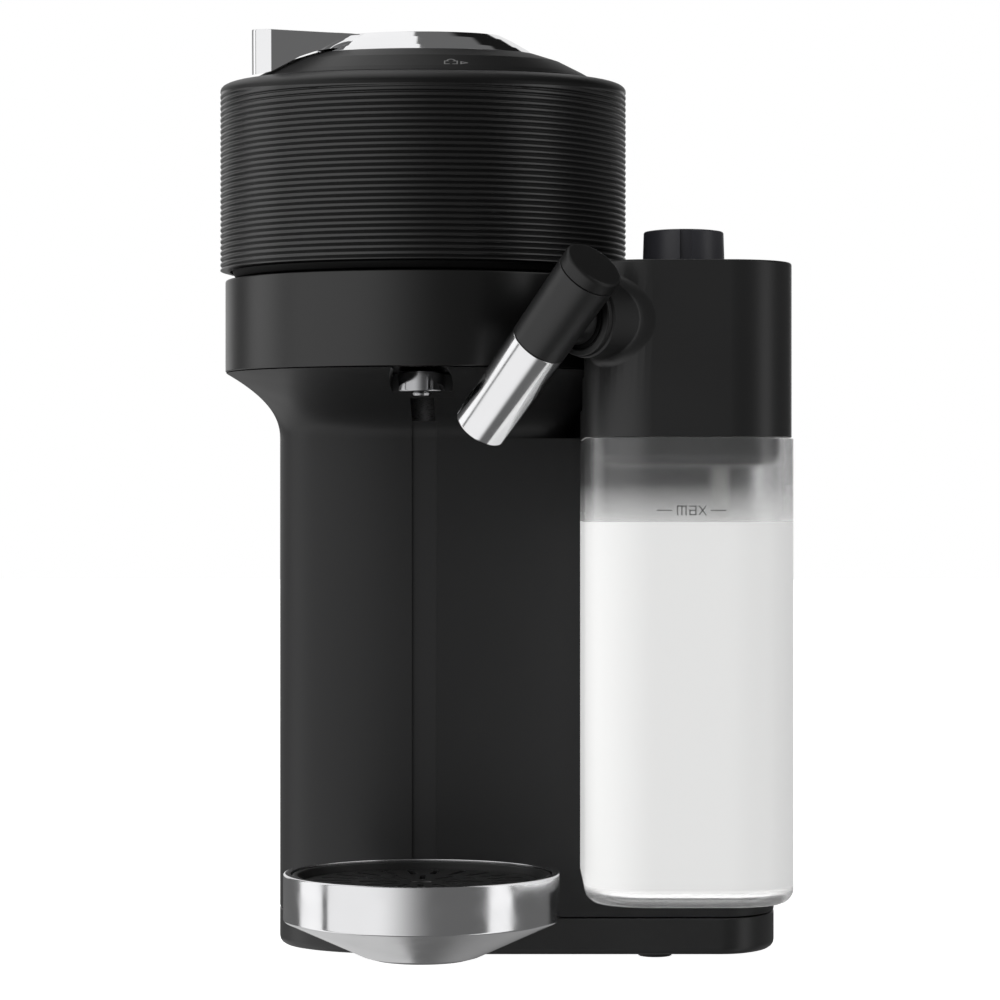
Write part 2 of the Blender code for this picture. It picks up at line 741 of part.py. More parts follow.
def piercing_unit():
    """The spinning plate in the head that pierces a capsule and passes the water in."""
    profile = [(0, 262), (7, 262), (7, 244.6), (31, 244.6), (31, 239.6), (22, 239.6), (20, 234.6)]
    profile += [(18, 239.6), (2.2, 239.6), (0.8, 233.6), (0, 233.6)]
    set_origin(piece("piercing_unit", turned(profile, 32), steel()), (0, 0, 242))


def ejector_fork():
    """The fork that lifts a used capsule by its rim as the head opens."""
    prong = [(-27, 57), (-38, 44), (-41.5, 20), (-41.5, -8), (-37.5, -10), (-37.5, 18), (-34, 38), (-22, 49)]
    mirrored = [(-x, y) for x, y in reversed(prong)]
    fork = piece("ejector_fork", prism(prong + mirrored, 236.4, 238.6), steel())
    set_origin(fork, (0, 56, 237.5))


# The cup support


def cup_support():
    profile = [(44.7, TRAY_TOP), (TRAY_R, TRAY_TOP), (TRAY_R, 21.3), (20, 8.9), (16, 7.8), (0, 7.8)]
    profile += [(0, 10.6), (16.5, 10.6), (44.7, 23.4)]
    tray = piece("cup_support", turned(profile, ROUND, Matrix.Translation((0, TRAY_Y, 0))), chrome())
    join(tray, block(-14, 14, 16.0, 28, 25, 33))


def drip_bowl():
    profile = [(42.2, 36.9), (44.3, 36.9), (44.3, 24.0), (16.2, 11.0), (0, 11.0), (0, 12.8), (15.8, 12.8)]
    profile += [(39.4, 24.2), (39.4, 31.3), (42.2, 31.3)]
    piece("drip_bowl", turned(profile, ROUND, Matrix.Translation((0, TRAY_Y, 0))), gloss_black())


def drip_grid():
    profile = [(3.6, 34.3), (41.6, 34.3), (41.6, 31.7), (3.6, 31.7)]
    piece("drip_grid", turned(profile, ROUND, Matrix.Translation((0, TRAY_Y, 0))), gloss_black())


# The milk unit


def relieve(made, inset=0.0):
    """Takes away what the round head needs, open to the rear so the unit slides out."""
    low, side = RING_RELIEF_Z - inset, HEAD_RELIEF_X + inset
    cut(made, disc(HEAD_RELIEF_R + inset, low, 260, 0, 0, 48))
    cut(made, block(20, side, 0, 40, low, 260))
    flare = [(40, -26 - inset), (57.5 + inset, -26 - inset), (70 + inset, 2), (side, 40), (40, 40)]
    cut(made, prism(flare, NECK_RELIEF_Z - inset, low + 1))


def collar_point(distance):
    """A point on the spout's turning axis, a distance behind its tube."""
    return SPOUT_PIVOT - SPOUT_AXIS * distance


def milk_lid():
    lid = piece("milk_lid", prism(jug_outline(), LID_BOTTOM, LID_TOP), dark_shell())
    start = collar_point(BOSS_ROOT)
    front = BOSS_ROOT - COLLAR_GAP - 2.8
    profile = [(0, front), (COLLAR_R, front), (COLLAR_R + 0.4, 10), (16.5, 4), (16.5, 0), (0, 0)]
    join(lid, turned(profile, 28, along(start, SPOUT_AXIS)))
    relieve(lid)
    hollow = cut(lid, prism(jug_outline(LID_WALL), LID_BOTTOM - 5, LID_ROOF))
    relieve(hollow, LID_WALL)
    join(lid, prism([(57, -58), (74, -75), (84, -62), (66, -46)], 208, LID_ROOF + 0.1))
    relieve(lid)
    cut(lid, disc(5.4, 230, 250, KNOB_X, KNOB_Y, 20))
    cut(lid, turned([(0, 40), (5.9, 40), (5.9, 0), (0, 0)], 20, along(collar_point(30), SPOUT_AXIS)))
    cut(lid, turned([(0, 40), (6.0, 40), (6.0, 0), (0, 0)], 20, along((STEAM_X, 5, STEAM_Z), (0, 1, 0))))


def lid_insert():
    """The dark inner part of the lid, which reaches into the jug."""
    insert = piece("lid_insert", prism(jug_outline(3.6), 176.5, 205.0), gloss_black())
    relieve(insert, 4.0)


def pickup_tube():
    piece("pickup_tube", disc(3.0, 38, 176.2, 104, 2, 14), hose_white())


def steam_nozzle():
    place = along((STEAM_X, 6, STEAM_Z), (0, 1, 0))
    piece("steam_nozzle", turned([(0, 26), (4.6, 26), (5.6, 24.5), (5.6, 0), (0, 0)], 20, place), steel())


def spout_collar():
    profile = [(6.0, 2.4), (COLLAR_R - 0.8, 2.4), (COLLAR_R, 1.6), (COLLAR_R, 0), (6.0, 0)]
    place = along(collar_point(COLLAR_GAP + 2.5), SPOUT_AXIS)
    piece("spout_collar", turned(profile, 24, place), gloss_black())


def spout_direction():
    """The tube's direction, from its top end down: halfway between level and straight down."""
    level_way = Vector((0, 0, 1)).cross(SPOUT_AXIS)
    if level_way.y < 0:
        level_way.negate()
    return (level_way - Vector((0, 0, 1))).normalized()


def spout_radius(distance):
    """The tube tapers from its top end to its lower end."""
    return SPOUT_TOP_R + (SPOUT_END_R - SPOUT_TOP_R) * distance / SPOUT_LENGTH


def spout_part(name, start, stop, finish, tip_chamfer=0.0):
    """One stretch of the milk spout, by its distances from the top end."""
    origin = SPOUT_PIVOT - spout_direction() * SPOUT_ABOVE
    first, last = spout_radius(start), spout_radius(stop)
    profile = [(0, stop), (last, stop), (first, start + tip_chamfer), (first - tip_chamfer, start), (0, start)]
    if not tip_chamfer:
        profile.pop(3)
    made = piece(name, turned(profile, 44, along(origin, spout_direction())), finish)
    return set_origin(made, SPOUT_PIVOT)


def milk_spout():
    spout_part("spout_cap", 0.0, SPOUT_CAP, gloss_black(), 0.8)
    elbow = spout_part("spout_elbow", SPOUT_CAP + GAP, SPOUT_DARK, dark_shell())
    profile = [(0, 3), (8.6, 3), (8.6, -COLLAR_GAP + 0.5), (5.5, -COLLAR_GAP + 0.5), (5.5, -30), (0, -30)]
    join(elbow, turned(profile, 20, along(SPOUT_PIVOT, SPOUT_AXIS)))
    tip = spout_part("spout_tip", SPOUT_DARK + GAP, SPOUT_LENGTH, chrome())
    origin = SPOUT_PIVOT - spout_direction() * SPOUT_ABOVE
    bore = [(0, SPOUT_LENGTH + 5), (6.5, SPOUT_LENGTH + 5), (6.5, SPOUT_LENGTH - 14), (0, SPOUT_LENGTH - 14)]
    cut(tip, turned(bore, 20, along(origin, spout_direction())))


def milk_jug():
    low = JUG_BOTTOM
    heights = [(low, 5.0), (low + 1.1, 2.4), (low + 4.5, 0.4), (LID_BOTTOM - GAP, 0.0)]
    jug = piece("milk_jug", loft([level(jug_outline(i, JUG_GROW), z) for z, i in heights]), jug_clear())
    inner = [(low + 3.5, 4.0), (low + 6.5, JUG_WALL), (LID_BOTTOM + 4, JUG_WALL)]
    cut(jug, loft([level(jug_outline(i), z) for z, i in inner]))


def froth_knob():
    profile = [(0, KNOB_TOP), (12.7, KNOB_TOP), (13.7, KNOB_TOP - 1), (KNOB_R, LID_TOP + 0.4), (5, LID_TOP + 0.4)]
    profile += [(5, 236), (0, 236)]
    knob = piece("froth_knob", turned(profile, 32, Matrix.Translation((KNOB_X, KNOB_Y, 0))), knob_grey())
    set_origin(knob, (KNOB_X, KNOB_Y, LID_TOP))


# The tank and the bin


def tank_outline(inset=0.0):
    return rounded_box(TANK_LEFT, TANK_RIGHT, TANK_FRONT, TANK_REAR, 6.0, TANK_CORNER, inset)


def tank_dock():
    dock = piece("tank_dock", prism(tank_outline(5.0), BASE_TOP + GAP, TANK_BOTTOM - GAP), inner_plastic())
    cut(dock, disc(7.0, 10, 30, VALVE_X, VALVE_Y, 24))


def water_tank():
    heights = [(TANK_BOTTOM, 1.2), (TANK_BOTTOM + 1.2, 0.0), (TANK_TOP, 0.0)]
    tank = piece("water_tank", loft([level(tank_outline(i), z) for z, i in heights]), tank_smoke())
    cut(tank, prism(tank_outline(2.4), TANK_BOTTOM + 2.8, TANK_TOP + 5))
    cut(tank, disc(5.9, 15, 30, VALVE_X, VALVE_Y, 24))


def tank_valve():
    profile = [(0, 30), (4, 30), (9, 28), (9, 25), (5.5, 25), (5.5, 18), (0, 18)]
    piece("tank_valve", turned(profile, 24, Matrix.Translation((VALVE_X, VALVE_Y, 0))), gloss_black())


def tank_lid():
    low = TANK_TOP + GAP
    heights = [(low, 0.0), (low + 5.2, 0.0), (low + 7.0, 1.8)]
    made = piece("tank_lid", loft([level(tank_outline(i), z) for z, i in heights]), dark_shell())
    set_origin(made, (0, TANK_REAR - 1.5, TANK_TOP + 3.8))


def bin_outline(inset=0.0):
    return rounded_box(BIN_LEFT, BIN_RIGHT, BIN_FRONT, BIN_REAR, 4.0, 6.0, inset, 3)


def capsule_bin():
    box = piece("capsule_bin", prism(bin_outline(), BIN_BOTTOM, BIN_TOP), dark_shell())
    cut(box, prism(bin_outline(2.4), BIN_BOTTOM + 2.6, BIN_TOP + 5))
    cut(box, block(-CHUTE_HALF, CHUTE_HALF, BIN_FRONT - 4, BIN_FRONT + 6, 213.5, BIN_TOP + 5))


def bin_cover():
    heights = [(BIN_TOP + GAP, 0.0), (BODY_TOP - 1.4, 0.0), (BODY_TOP, 1.4)]
    piece("bin_cover", loft([level(bin_outline(i), z) for z, i in heights]), dark_shell())


def build():
    for old in list(bpy.data.objects):
        bpy.data.objects.remove(old, do_unlink=True)
    makers = [
        base_plate, feet, cord_gland, body_shell, neck_shell, capsule_housing, coffee_spout,
        inner_frame, capsule_chute, hinge_bracket, hinge_pin, steam_socket, cup_bearing,
        drive_motor, drive_belt, motor_pulley, capsule_cup, water_pump, thermoblock,
        steam_unit, control_board, hoses, head_drum, head_dome, head_floor, top_panel,
        brew_button, recipe_buttons, lever, hinge_arm, piercing_unit, ejector_fork,
        cup_support, drip_bowl, drip_grid, milk_lid, lid_insert, pickup_tube, steam_nozzle,
        spout_collar, milk_spout, milk_jug, froth_knob, tank_dock, water_tank, tank_valve,
        tank_lid, capsule_bin, bin_cover,
    ]
    for make in makers:
        make()


build()
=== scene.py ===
"""Looks of the pod coffee machine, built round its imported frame.

Shapes are made in millimetres from the machine's own axes: X = 0, Y = 0 is the upright
axis of the round brew head, -Y the front, +X the side of the milk unit, Z = 0 the table.
Every main size is read from the boxes of the frame's nodes.
"""

import json
from math import acos, asin, atan2, cos, degrees, hypot, pi, radians, sin, sqrt, tan

import bmesh
import bpy
from mathutils import Matrix, Vector


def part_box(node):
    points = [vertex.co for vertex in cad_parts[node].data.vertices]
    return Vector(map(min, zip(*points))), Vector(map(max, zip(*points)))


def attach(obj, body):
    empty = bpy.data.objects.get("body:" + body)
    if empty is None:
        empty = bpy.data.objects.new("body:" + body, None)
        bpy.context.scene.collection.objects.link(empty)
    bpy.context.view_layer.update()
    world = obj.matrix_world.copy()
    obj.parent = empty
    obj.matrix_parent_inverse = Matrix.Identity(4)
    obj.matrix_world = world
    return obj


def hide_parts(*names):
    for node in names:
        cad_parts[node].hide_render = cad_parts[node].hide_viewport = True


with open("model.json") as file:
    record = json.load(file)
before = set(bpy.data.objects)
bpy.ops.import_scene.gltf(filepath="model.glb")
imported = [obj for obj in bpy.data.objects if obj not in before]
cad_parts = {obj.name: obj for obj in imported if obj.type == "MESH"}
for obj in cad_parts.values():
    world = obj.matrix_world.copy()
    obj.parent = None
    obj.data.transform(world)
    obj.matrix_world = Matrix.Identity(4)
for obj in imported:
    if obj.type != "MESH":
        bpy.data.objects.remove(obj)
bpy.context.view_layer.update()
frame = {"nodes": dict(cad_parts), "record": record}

MM = 0.001
RING_LOW, RING_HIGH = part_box("capsule_housing")
HEAD_X = (RING_LOW.x + RING_HIGH.x) / 2 / MM
HEAD_Y = (RING_LOW.y + RING_HIGH.y) / 2 / MM


class Box:
    """A CAD node's box at rest, in millimetres from the head axis."""

    def __init__(self, node):
        low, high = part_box(node)
        self.x0, self.x1 = low.x / MM - HEAD_X, high.x / MM - HEAD_X
        self.y0, self.y1 = low.y / MM - HEAD_Y, high.y / MM - HEAD_Y
        self.z0, self.z1 = low.z / MM, high.z / MM
        self.x, self.y = (self.x0 + self.x1) / 2, (self.y0 + self.y1) / 2
        self.z = (self.z0 + self.z1) / 2
        self.radius = (self.x1 - self.x0) / 2


BASE = Box("base_plate")
BODY = Box("body_shell")
NECK = Box("neck_shell")
RING = Box("capsule_housing")
DRUM = Box("head_drum")
SPOUT = Box("coffee_spout")
TRAY = Box("cup_support")
BOWL = Box("drip_bowl")
GRID = Box("drip_grid")
JUG = Box("milk_jug")
INSERT = Box("lid_insert")
KNOB = Box("froth_knob")
TANK = Box("water_tank")
TANK_LID = Box("tank_lid")
BIN = Box("capsule_bin")
BIN_COVER = Box("bin_cover")
CHUTE = Box("capsule_chute")
NOZZLE = Box("steam_nozzle")
CUP = Box("capsule_cup")
GLAND = Box("cord_gland")
SOCKET = Box("steam_socket")
VALVE = Box("tank_valve")

SEAM = 0.3  # the gap between two covers
UP, BACKWARD, FORWARD, RIGHT = Vector((0, 0, 1)), (0, 1, 0), (0, -1, 0), (1, 0, 0)

# The body
HALF = -BODY.x0  # half the column's width
FRONT = BODY.y0  # the column's front
FRONT_DEPTH, FRONT_POWER = 43.0, 2.3  # the rounded front, a superellipse
MODULE_X, MODULE_Y, MODULE_BEND = 106.0, 51.0, 31.0  # centre and depth of the module's rounded corner
NOTCH_X, NOTCH_Y = 54.0, 172.0  # the notch for the capsule bin
UPPER_Y, UPPER_X = 72.6, 73.5  # front and left side of the body above the shoulder
REAR_BEND, TANK_CORNER = 10.0, 28.0  # the upright corners at the rear
WALL = 2.6
HINGE_Y, HINGE_Z = 80.0, 247.0  # the axis that the head opens about

# The neck
SHOULDER = NECK.z0 - SEAM
NECK_TOP_R, NECK_WALL, NECK_CURVE = RING.radius - 0.3, 3.0, 2.4
NECK_REAR, NECK_INNER_REAR = 71.8, 66.0
NECK_RIGHT_POWER = 6.0  # of its squarer right half, beside the module
GROOVE_LEFT, GROOVE_RIGHT, GROOVE_DEPTH = -4.5, 4.4, 1.1  # under the spout
CHANNEL_Z = 193.2  # above this the groove opens into the neck
SPOUT_BLOCK, SPOUT_RECESS_R, SLOT_HALF = 13.2, 10.8, 7.9
KEYHOLE_Z, KEYHOLE_TALL = 204.9, 8.3  # middle and half height of the oval round the spout

# The head. Its dome and lever stand on a tilted plane, as (radius, height over it) or (x, y)
TILT = radians(3.7)
CROWN_Z = 312.7  # where the plane crosses the head axis
SHOULDER_R, SHOULDER_Z = 58.9, 307.7
RIB_PITCH, RIB_DEPTH, RIB_TOP = 2.02, 0.75, 305.6
CROWN = [(38.4, 8.5), (43.4, 7.0), (47.6, 5.6), (55.6, 1.6), (58.9, 0.0), (65.3, -1.2), (71, -3.6)]
DOME_SLOPE = [(47.6, 5.7), (55.6, 1.7)]
ICON_FOOT = 0.9  # from the slope's outer end to the foot of the icons
RECIPES = ("left", "middle", "right")
LEVER_TOP = 14.9
CONE = [(26.0, LEVER_TOP), (31.0, 12.9), (36.3, 9.9), (38.4, 8.5)]  # the lever's ring
WING_DROP, WING_RISE = 1.3, 0.85  # of its wing's top, at the ring and at its tip
WING_ROOT, WING_CREASE = Vector((-20.0, -17.0)), Vector((-51.6, -26.8))
WING_FACET, WING_END, WING_END_R = Vector((-56.45, -24.5)), Vector((-54.2, -20.6)), 4.5
WING_BLEND, WING_FOOT = 7.0, 9.0

# The milk unit
LID_Z0, LID_ROOF, LID_Z1 = JUG.z1 + SEAM, 238.4, 244.4
JUG_CORNER, JUG_REAR_CORNER, JUG_FLOOR, JUG_WALL = 22.0, 7.0, 3.5, 2.2
JUG_GROW = 0.6  # the jug's right side beyond the lid's
RELIEF_R, NECK_RELIEF_Z, RING_RELIEF_Z = 73.5, 196.0, 206.5
MILK_TOP = 157.7
MILK_TONE, MILK_GLOW = (0.80, 0.80, 0.79), 0.36  # the glow stands in for light scattered in the milk
MARK_X, MARK_Z, MARK_TALL = 85.4, 160.2, 2.8  # left end, foot and height of the fill mark's first letter
PRINT_WIDTH, PRINT_DEPTH = 0.42, 0.02
SPOUT_PIVOT = Vector((45.6, -87.0, 224.6))
SPOUT_AXIS = Vector((-0.70, -0.714, 0.0)).normalized()
SPOUT_LENGTH, SPOUT_ABOVE, SPOUT_DARK, SPOUT_CAP = 73.8, 23.6, 35.0, 4.7
SPOUT_TOP_R, SPOUT_END_R = 10.25, 9.15
COLLAR_R, COLLAR_BACK = 12.5, 13.1
BOSS_R, BOSS_BLEND, BOSS_ROOT = 12.9, 2.8, 32.0

# The studio
WHITE = (1, 1, 1, 1)
CAMERA, LENS = (-1.0, -1343.2, 165.0), 127.66
# Panels of light: azimuth (rise from, to, fall from, to), elevation the same, brightness.
# Azimuth 0 is the camera's side and runs to its right; a later panel covers an earlier one.
PANELS = [
    ((-181, -180, 180, 181), (-91, -90, 90, 91), 0.14),
    ((-120, -118, -90, -88), (-70, -60, 40, 52), 1.15),
    ((-84, -82, -38, 12), (-70, -60, 45, 60), 1.0),
    ((57, 60, 80, 84), (-70, -60, 42, 52), 1.15),
    ((-181, -180, -150, -140), (-3, 0, 29, 33), 0.85),
    ((150, 158, 180, 181), (-3, 0, 26, 28), 0.85),
    ((-176, -175, -100, -85), (27, 33, 90, 91), 1.0),
    ((100, 120, 180, 181), (26, 28, 45, 48), 0.01),
    ((-177, -175, -120, -110), (-60, -50, -14, -10), 0.6),
    ((110, 130, 172, 178), (-60, -50, -14, -10), 0.3),
]


# Solids: lists of points in millimetres and of faces by point number


def arc(cx, cy, rx, ry, start, stop, steps):
    angles = [radians(start + (stop - start) * i / steps) for i in range(steps + 1)]
    return [(cx + rx * cos(a), cy + ry * sin(a)) for a in angles]


def rounded(corners, steps=4):
    """A closed outline through corners, sharp (x, y) or rounded (x, y, radius)."""
    points = []
    for i, (x, y, *bend) in enumerate(corners):
        here = Vector((x, y))
        back = Vector(corners[i - 1][:2]) - here
        ahead = Vector(corners[(i + 1) % len(corners)][:2]) - here
        angle = back.angle(ahead)
        if not bend or angle > 3.1:
            points.append((x, y))
            continue
        reach = min(bend[0] / tan(angle / 2), back.length * 0.49, ahead.length * 0.49)
        radius = reach * tan(angle / 2)
        middle = here + (back.normalized() + ahead.normalized()).normalized() * radius / sin(angle / 2)
        first = here + back.normalized() * reach - middle
        last = here + ahead.normalized() * reach - middle
        start = atan2(first.y, first.x)
        turn = (atan2(last.y, last.x) - start + pi) % (2 * pi) - pi
        for k in range(steps + 1):
            a = start + turn * k / steps
            points.append((middle.x + radius * cos(a), middle.y + radius * sin(a)))
    return points


def moved(points, place):
    return [tuple(place @ Vector(p)) for p in points] if place is not None else points


def skin(sections, place=None, ring=False):
    """A solid through sections, each a closed run of points or one point: a closed ring, or capped."""
    points, rows, faces = [], [], []
    for section in sections:
        rows.append([len(points) + i for i in range(len(section))])
        points += section
    for low, high in zip(rows, rows[1:] + rows[:1] if ring else rows[1:]):
        for i in range(max(len(low), len(high))):
            j = i + 1
            face = [low[i % len(low)], low[j % len(low)], high[j % len(high)], high[i % len(high)]]
            face = list(dict.fromkeys(face))
            if len(face) > 2:
                faces.append(face)
    if not ring:
        faces += [row for row in (rows[0], rows[-1]) if len(row) > 2]
    return moved(points, place), faces


def revolve(corners, segments=128, place=None, steps=4):
    """A closed profile of (radius, z) or (radius, z, rounding) turned about Z."""
    sections = []
    for radius, z in rounded(corners, steps):
        angles = [2 * pi * i / segments for i in range(segments if radius > 1e-6 else 1)]
        sections.append([(radius * cos(a), radius * sin(a), z) for a in angles])
    return skin(sections, place, ring=True)


def level(outline, z):
    return [(x, y, z) for x, y in outline]


def prism(outline, z0, z1, place=None):
    return skin([level(outline, z0), level(outline, z1)], place)


def block(x0, x1, y0, y1, z0, z1):
    return prism([(x0, y0), (x1, y0), (x1, y1), (x0, y1)], z0, z1)


def rod(radius, z0, z1, place=None, segments=64):
    """A plain cylinder along Z."""
    return revolve([(0, z1), (radius, z1), (radius, z0), (0, z0)], segments, place)


def disc(radius, z0, z1, x=0.0, y=0.0, segments=96):
    return rod(radius, z0, z1, Matrix.Translation((x, y, 0)), segments)


def edge_rows(z0, z1, low, high, steps=4):
    """(z, inset) rows of a wall whose lower and upper rims are rounded."""
    quarter = [pi / 2 * k / steps for k in range(steps + 1)]
    rows = [(z0 + low * (1 - cos(a)), low * (1 - sin(a))) for a in quarter] if low else [(z0, 0.0)]
    over = [(z1 - high * (1 - cos(a)), high * (1 - sin(a))) for a in reversed(quarter)]
    return rows + (over if high else [(z1, 0.0)])


def slab(outline, z0, z1, low=0.0, high=0.0, steps=4):
    """A prism of outline(inset) with rounded rims."""
    return skin([level(outline(inset), z) for z, inset in edge_rows(z0, z1, low, high, steps)])


def joined(*solids):
    points, faces = [], []
    for some, sides in solids:
        start = len(points)
        points += some
        faces += [[start + i for i in side] for side in sides]
    return points, faces


def along(point, direction):
    """Turns +Z to a direction and moves the origin to a point."""
    turn = UP.rotation_difference(Vector(direction)).to_matrix().to_4x4()
    return Matrix.Translation(point) @ turn


def tilted():
    """The tilted frame of the head's top, its origin on the head axis."""
    return Matrix.Translation((0, 0, CROWN_Z)) @ Matrix.Rotation(TILT, 4, "X")


# Objects


def added(name, data):
    """A new object in the scene."""
    made = bpy.data.objects.new(name, data)
    bpy.context.scene.collection.objects.link(made)
    return made


def solid_object(name, solid):
    points, faces = solid
    bm = bmesh.new()
    verts = [bm.verts.new(((x + HEAD_X) * MM, (y + HEAD_Y) * MM, z * MM)) for x, y, z in points]
    for face in faces:
        bm.faces.new([verts[i] for i in face])
    bmesh.ops.recalc_face_normals(bm, faces=bm.faces)
    mesh = bpy.data.meshes.new(name)
    bm.to_mesh(mesh)
    bm.free()
    return added(name, mesh)


def baked(made):
    """Applies an object's modifiers."""
    depsgraph = bpy.context.evaluated_depsgraph_get()
    mesh = bpy.data.meshes.new_from_object(made.evaluated_get(depsgraph), depsgraph=depsgraph)
    made.modifiers.clear()
    made.data = mesh


def combine(made, solids, operation):
    """Adds solids to an object or takes them from it; a solid may itself be an object."""
    helpers = []
    for solid in solids:
        helper = solid if isinstance(solid, bpy.types.Object) else solid_object("helper", solid)
        modifier = made.modifiers.new("shape", "BOOLEAN")
        modifier.operation, modifier.solver, modifier.object = operation, "EXACT", helper
        helpers.append(helper)
    if helpers:
        baked(made)
    for helper in helpers:
        bpy.data.objects.remove(helper)


def without(solid, cuts):
    """A cutter that spares some solids."""
    made = solid_object("cutter", solid)
    combine(made, cuts, "DIFFERENCE")
    return made


def piece(name, solid, finish, body, node=None, slot=None, joins=(), cuts=(), sharp=32):
    """A visible piece: its shape, its finish, the body it rides on and the node it stands for."""
    made = solid if isinstance(solid, bpy.types.Object) else solid_object(name, solid)
    made.name = name
    combine(made, joins, "UNION")
    combine(made, cuts, "DIFFERENCE")
    made.data.shade_smooth()
    made.data.set_sharp_from_angle(angle=radians(sharp))
    normals = made.modifiers.new("normals", "WEIGHTED_NORMAL")
    normals.keep_sharp = True
    baked(made)
    made.data.materials.clear()
    made.data.materials.append(finish)
    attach(made, body)
    if node:
        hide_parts(node)
    return made


# Materials


class Nodes:
    """A node tree, with short ways to add nodes."""

    def __init__(self, tree):
        self.tree = tree

    def add(self, kind, **inputs):
        node = self.tree.nodes.new(f"ShaderNode{kind}")
        for key, value in inputs.items():
            self.set(node, key.replace("_", " "), value)
        return node

    def set(self, node, key, value):
        if isinstance(value, bpy.types.NodeSocket):
            self.tree.links.new(value, node.inputs[key])
        else:
            node.inputs[key].default_value = value

    def ranged(self, value, low, high, start=0.3, stop=0.7, course="LINEAR"):
        node = self.add("MapRange", Value=value)
        node.interpolation_type = course
        for key, number in zip(("From Min", "From Max", "To Min", "To Max"), (start, stop, low, high)):
            node.inputs[key].default_value = number
        return node.outputs[0]

    def maths(self, operation, *values):
        node = self.add("Math")
        node.operation = operation
        for key, value in enumerate(values):
            self.set(node, key, value)
        return node.outputs[0]

    def both(self, share, first, second):
        """A shader with a share of a second one in it."""
        node = self.add("MixShader")
        for key, value in enumerate((share, first, second)):
            self.set(node, key, value)
        return node.outputs[0]


class Finish(Nodes):
    """A material's nodes, built up round its shader."""

    def __init__(self, name):
        self.material = bpy.data.materials.new(name)
        self.material.use_nodes = True
        super().__init__(self.material.node_tree)
        self.shader = self.tree.nodes["Principled BSDF"]
        self.place = self.add("TexCoord").outputs["Object"]

    def noise(self, size, detail=3.0, stretch=(1, 1, 1)):
        """Noise whose grain is size millimetres across."""
        scaled = self.add("Mapping", Vector=self.place, Scale=stretch)
        made = self.add("TexNoise", Vector=scaled.outputs[0], Scale=1 / (size * MM), Detail=detail)
        return made.outputs["Fac"]

    def mixed(self, factor, first, second):
        node = self.add("Mix")
        node.data_type = "RGBA"
        for key, value in ((0, factor), (6, first), (7, second)):
            self.set(node, key, value)
        return node.outputs[2]

    def bump(self, height, depth, strength=1.0):
        """Relief depth millimetres deep."""
        node = self.add("Bump", Height=height, Strength=strength, Distance=depth * MM)
        self.set(self.shader, "Normal", node.outputs[0])

    def height(self, low, high, start, stop):
        """A value that runs from low to high between two heights in millimetres."""
        split = self.add("SeparateXYZ", Vector=self.place)
        return self.ranged(split.outputs["Z"], low, high, start * MM, stop * MM)

    def cover(self, shader, share):
        """Mixes a share of another shader over what the surface has."""
        surface = self.tree.nodes["Material Output"].inputs["Surface"]
        self.tree.links.new(self.both(share, surface.links[0].from_socket, shader), surface)

    def finish(self, **inputs):
        for key, value in inputs.items():
            self.set(self.shader, key.replace("_", " "), value)
        return self.material


def tone(colour, factor=1.0):
    return (*(c * factor for c in colour), 1.0)


def moulded(name, colour, roughness, grain=0.35, depth=0.012, specular=0.5):
    """Moulded plastic: a fine spark-eroded grain with slow changes of sheen and tone."""
    n = Finish(name)
    slow = n.noise(45.0, 2.0)
    n.bump(n.noise(grain, 4.0), depth)
    shade = n.mixed(slow, tone(colour, 0.9), tone(colour, 1.1))
    rough = n.ranged(slow, roughness - 0.025, roughness + 0.025)
    return n.finish(Base_Color=shade, Roughness=rough, Specular_IOR_Level=specular)


def polished(name, colour, roughness):
    """Glossy plastic with a faint orange peel."""
    n = Finish(name)
    n.bump(n.noise(6.0, 2.0), 0.02, 0.25)
    shade = n.mixed(n.noise(30.0), tone(colour, 0.85), tone(colour, 1.15))
    return n.finish(Base_Color=shade, Roughness=n.ranged(n.noise(12.0), roughness * 0.8, roughness * 1.25))


def metal(name, colour, roughness, brush=None):
    """Metal: polished, or with turning marks when brushed."""
    n = Finish(name)
    if brush:
        lines = n.noise(brush, 4.0, (1, 1, 12))
        n.bump(lines, 0.01, 0.5)
        rough = n.ranged(lines, roughness * 0.75, roughness * 1.3)
    else:
        rough = n.ranged(n.noise(9.0, 5.0), roughness * 0.7, roughness * 1.4)
    shade = n.mixed(n.noise(25.0), tone(colour, 0.97), tone(colour, 1.02))
    return n.finish(Base_Color=shade, Metallic=1.0, Roughness=rough)


def clear(name, colour, roughness, haze, haze_colour):
    """Tinted clear plastic with a share of haze in it."""
    n = Finish(name)
    rough = n.ranged(n.noise(20.0), roughness * 0.9, roughness * 1.1)
    shade = n.mixed(n.noise(35.0), tone(colour, 0.97), tone(colour, 1.0))
    n.finish(Base_Color=shade, Roughness=rough, IOR=1.49, Transmission_Weight=1.0)
    n.cover(n.add("BsdfTranslucent", Color=tone(haze_colour)).outputs[0], haze)
    return n


def milk_white():
    # The milk's emission is a painted glow, standing in for light scattered in the milk.
    n = Finish("milk_white")
    shade = n.mixed(n.noise(30.0), tone(MILK_TONE, 0.99), tone(MILK_TONE, 1.01))
    n.bump(n.noise(12.0, 1.0), 0.05, 0.2)
    rough = n.ranged(n.noise(18.0), 0.3, 0.4)
    return n.finish(Base_Color=shade, Roughness=rough, Emission_Color=WHITE, Emission_Strength=MILK_GLOW)


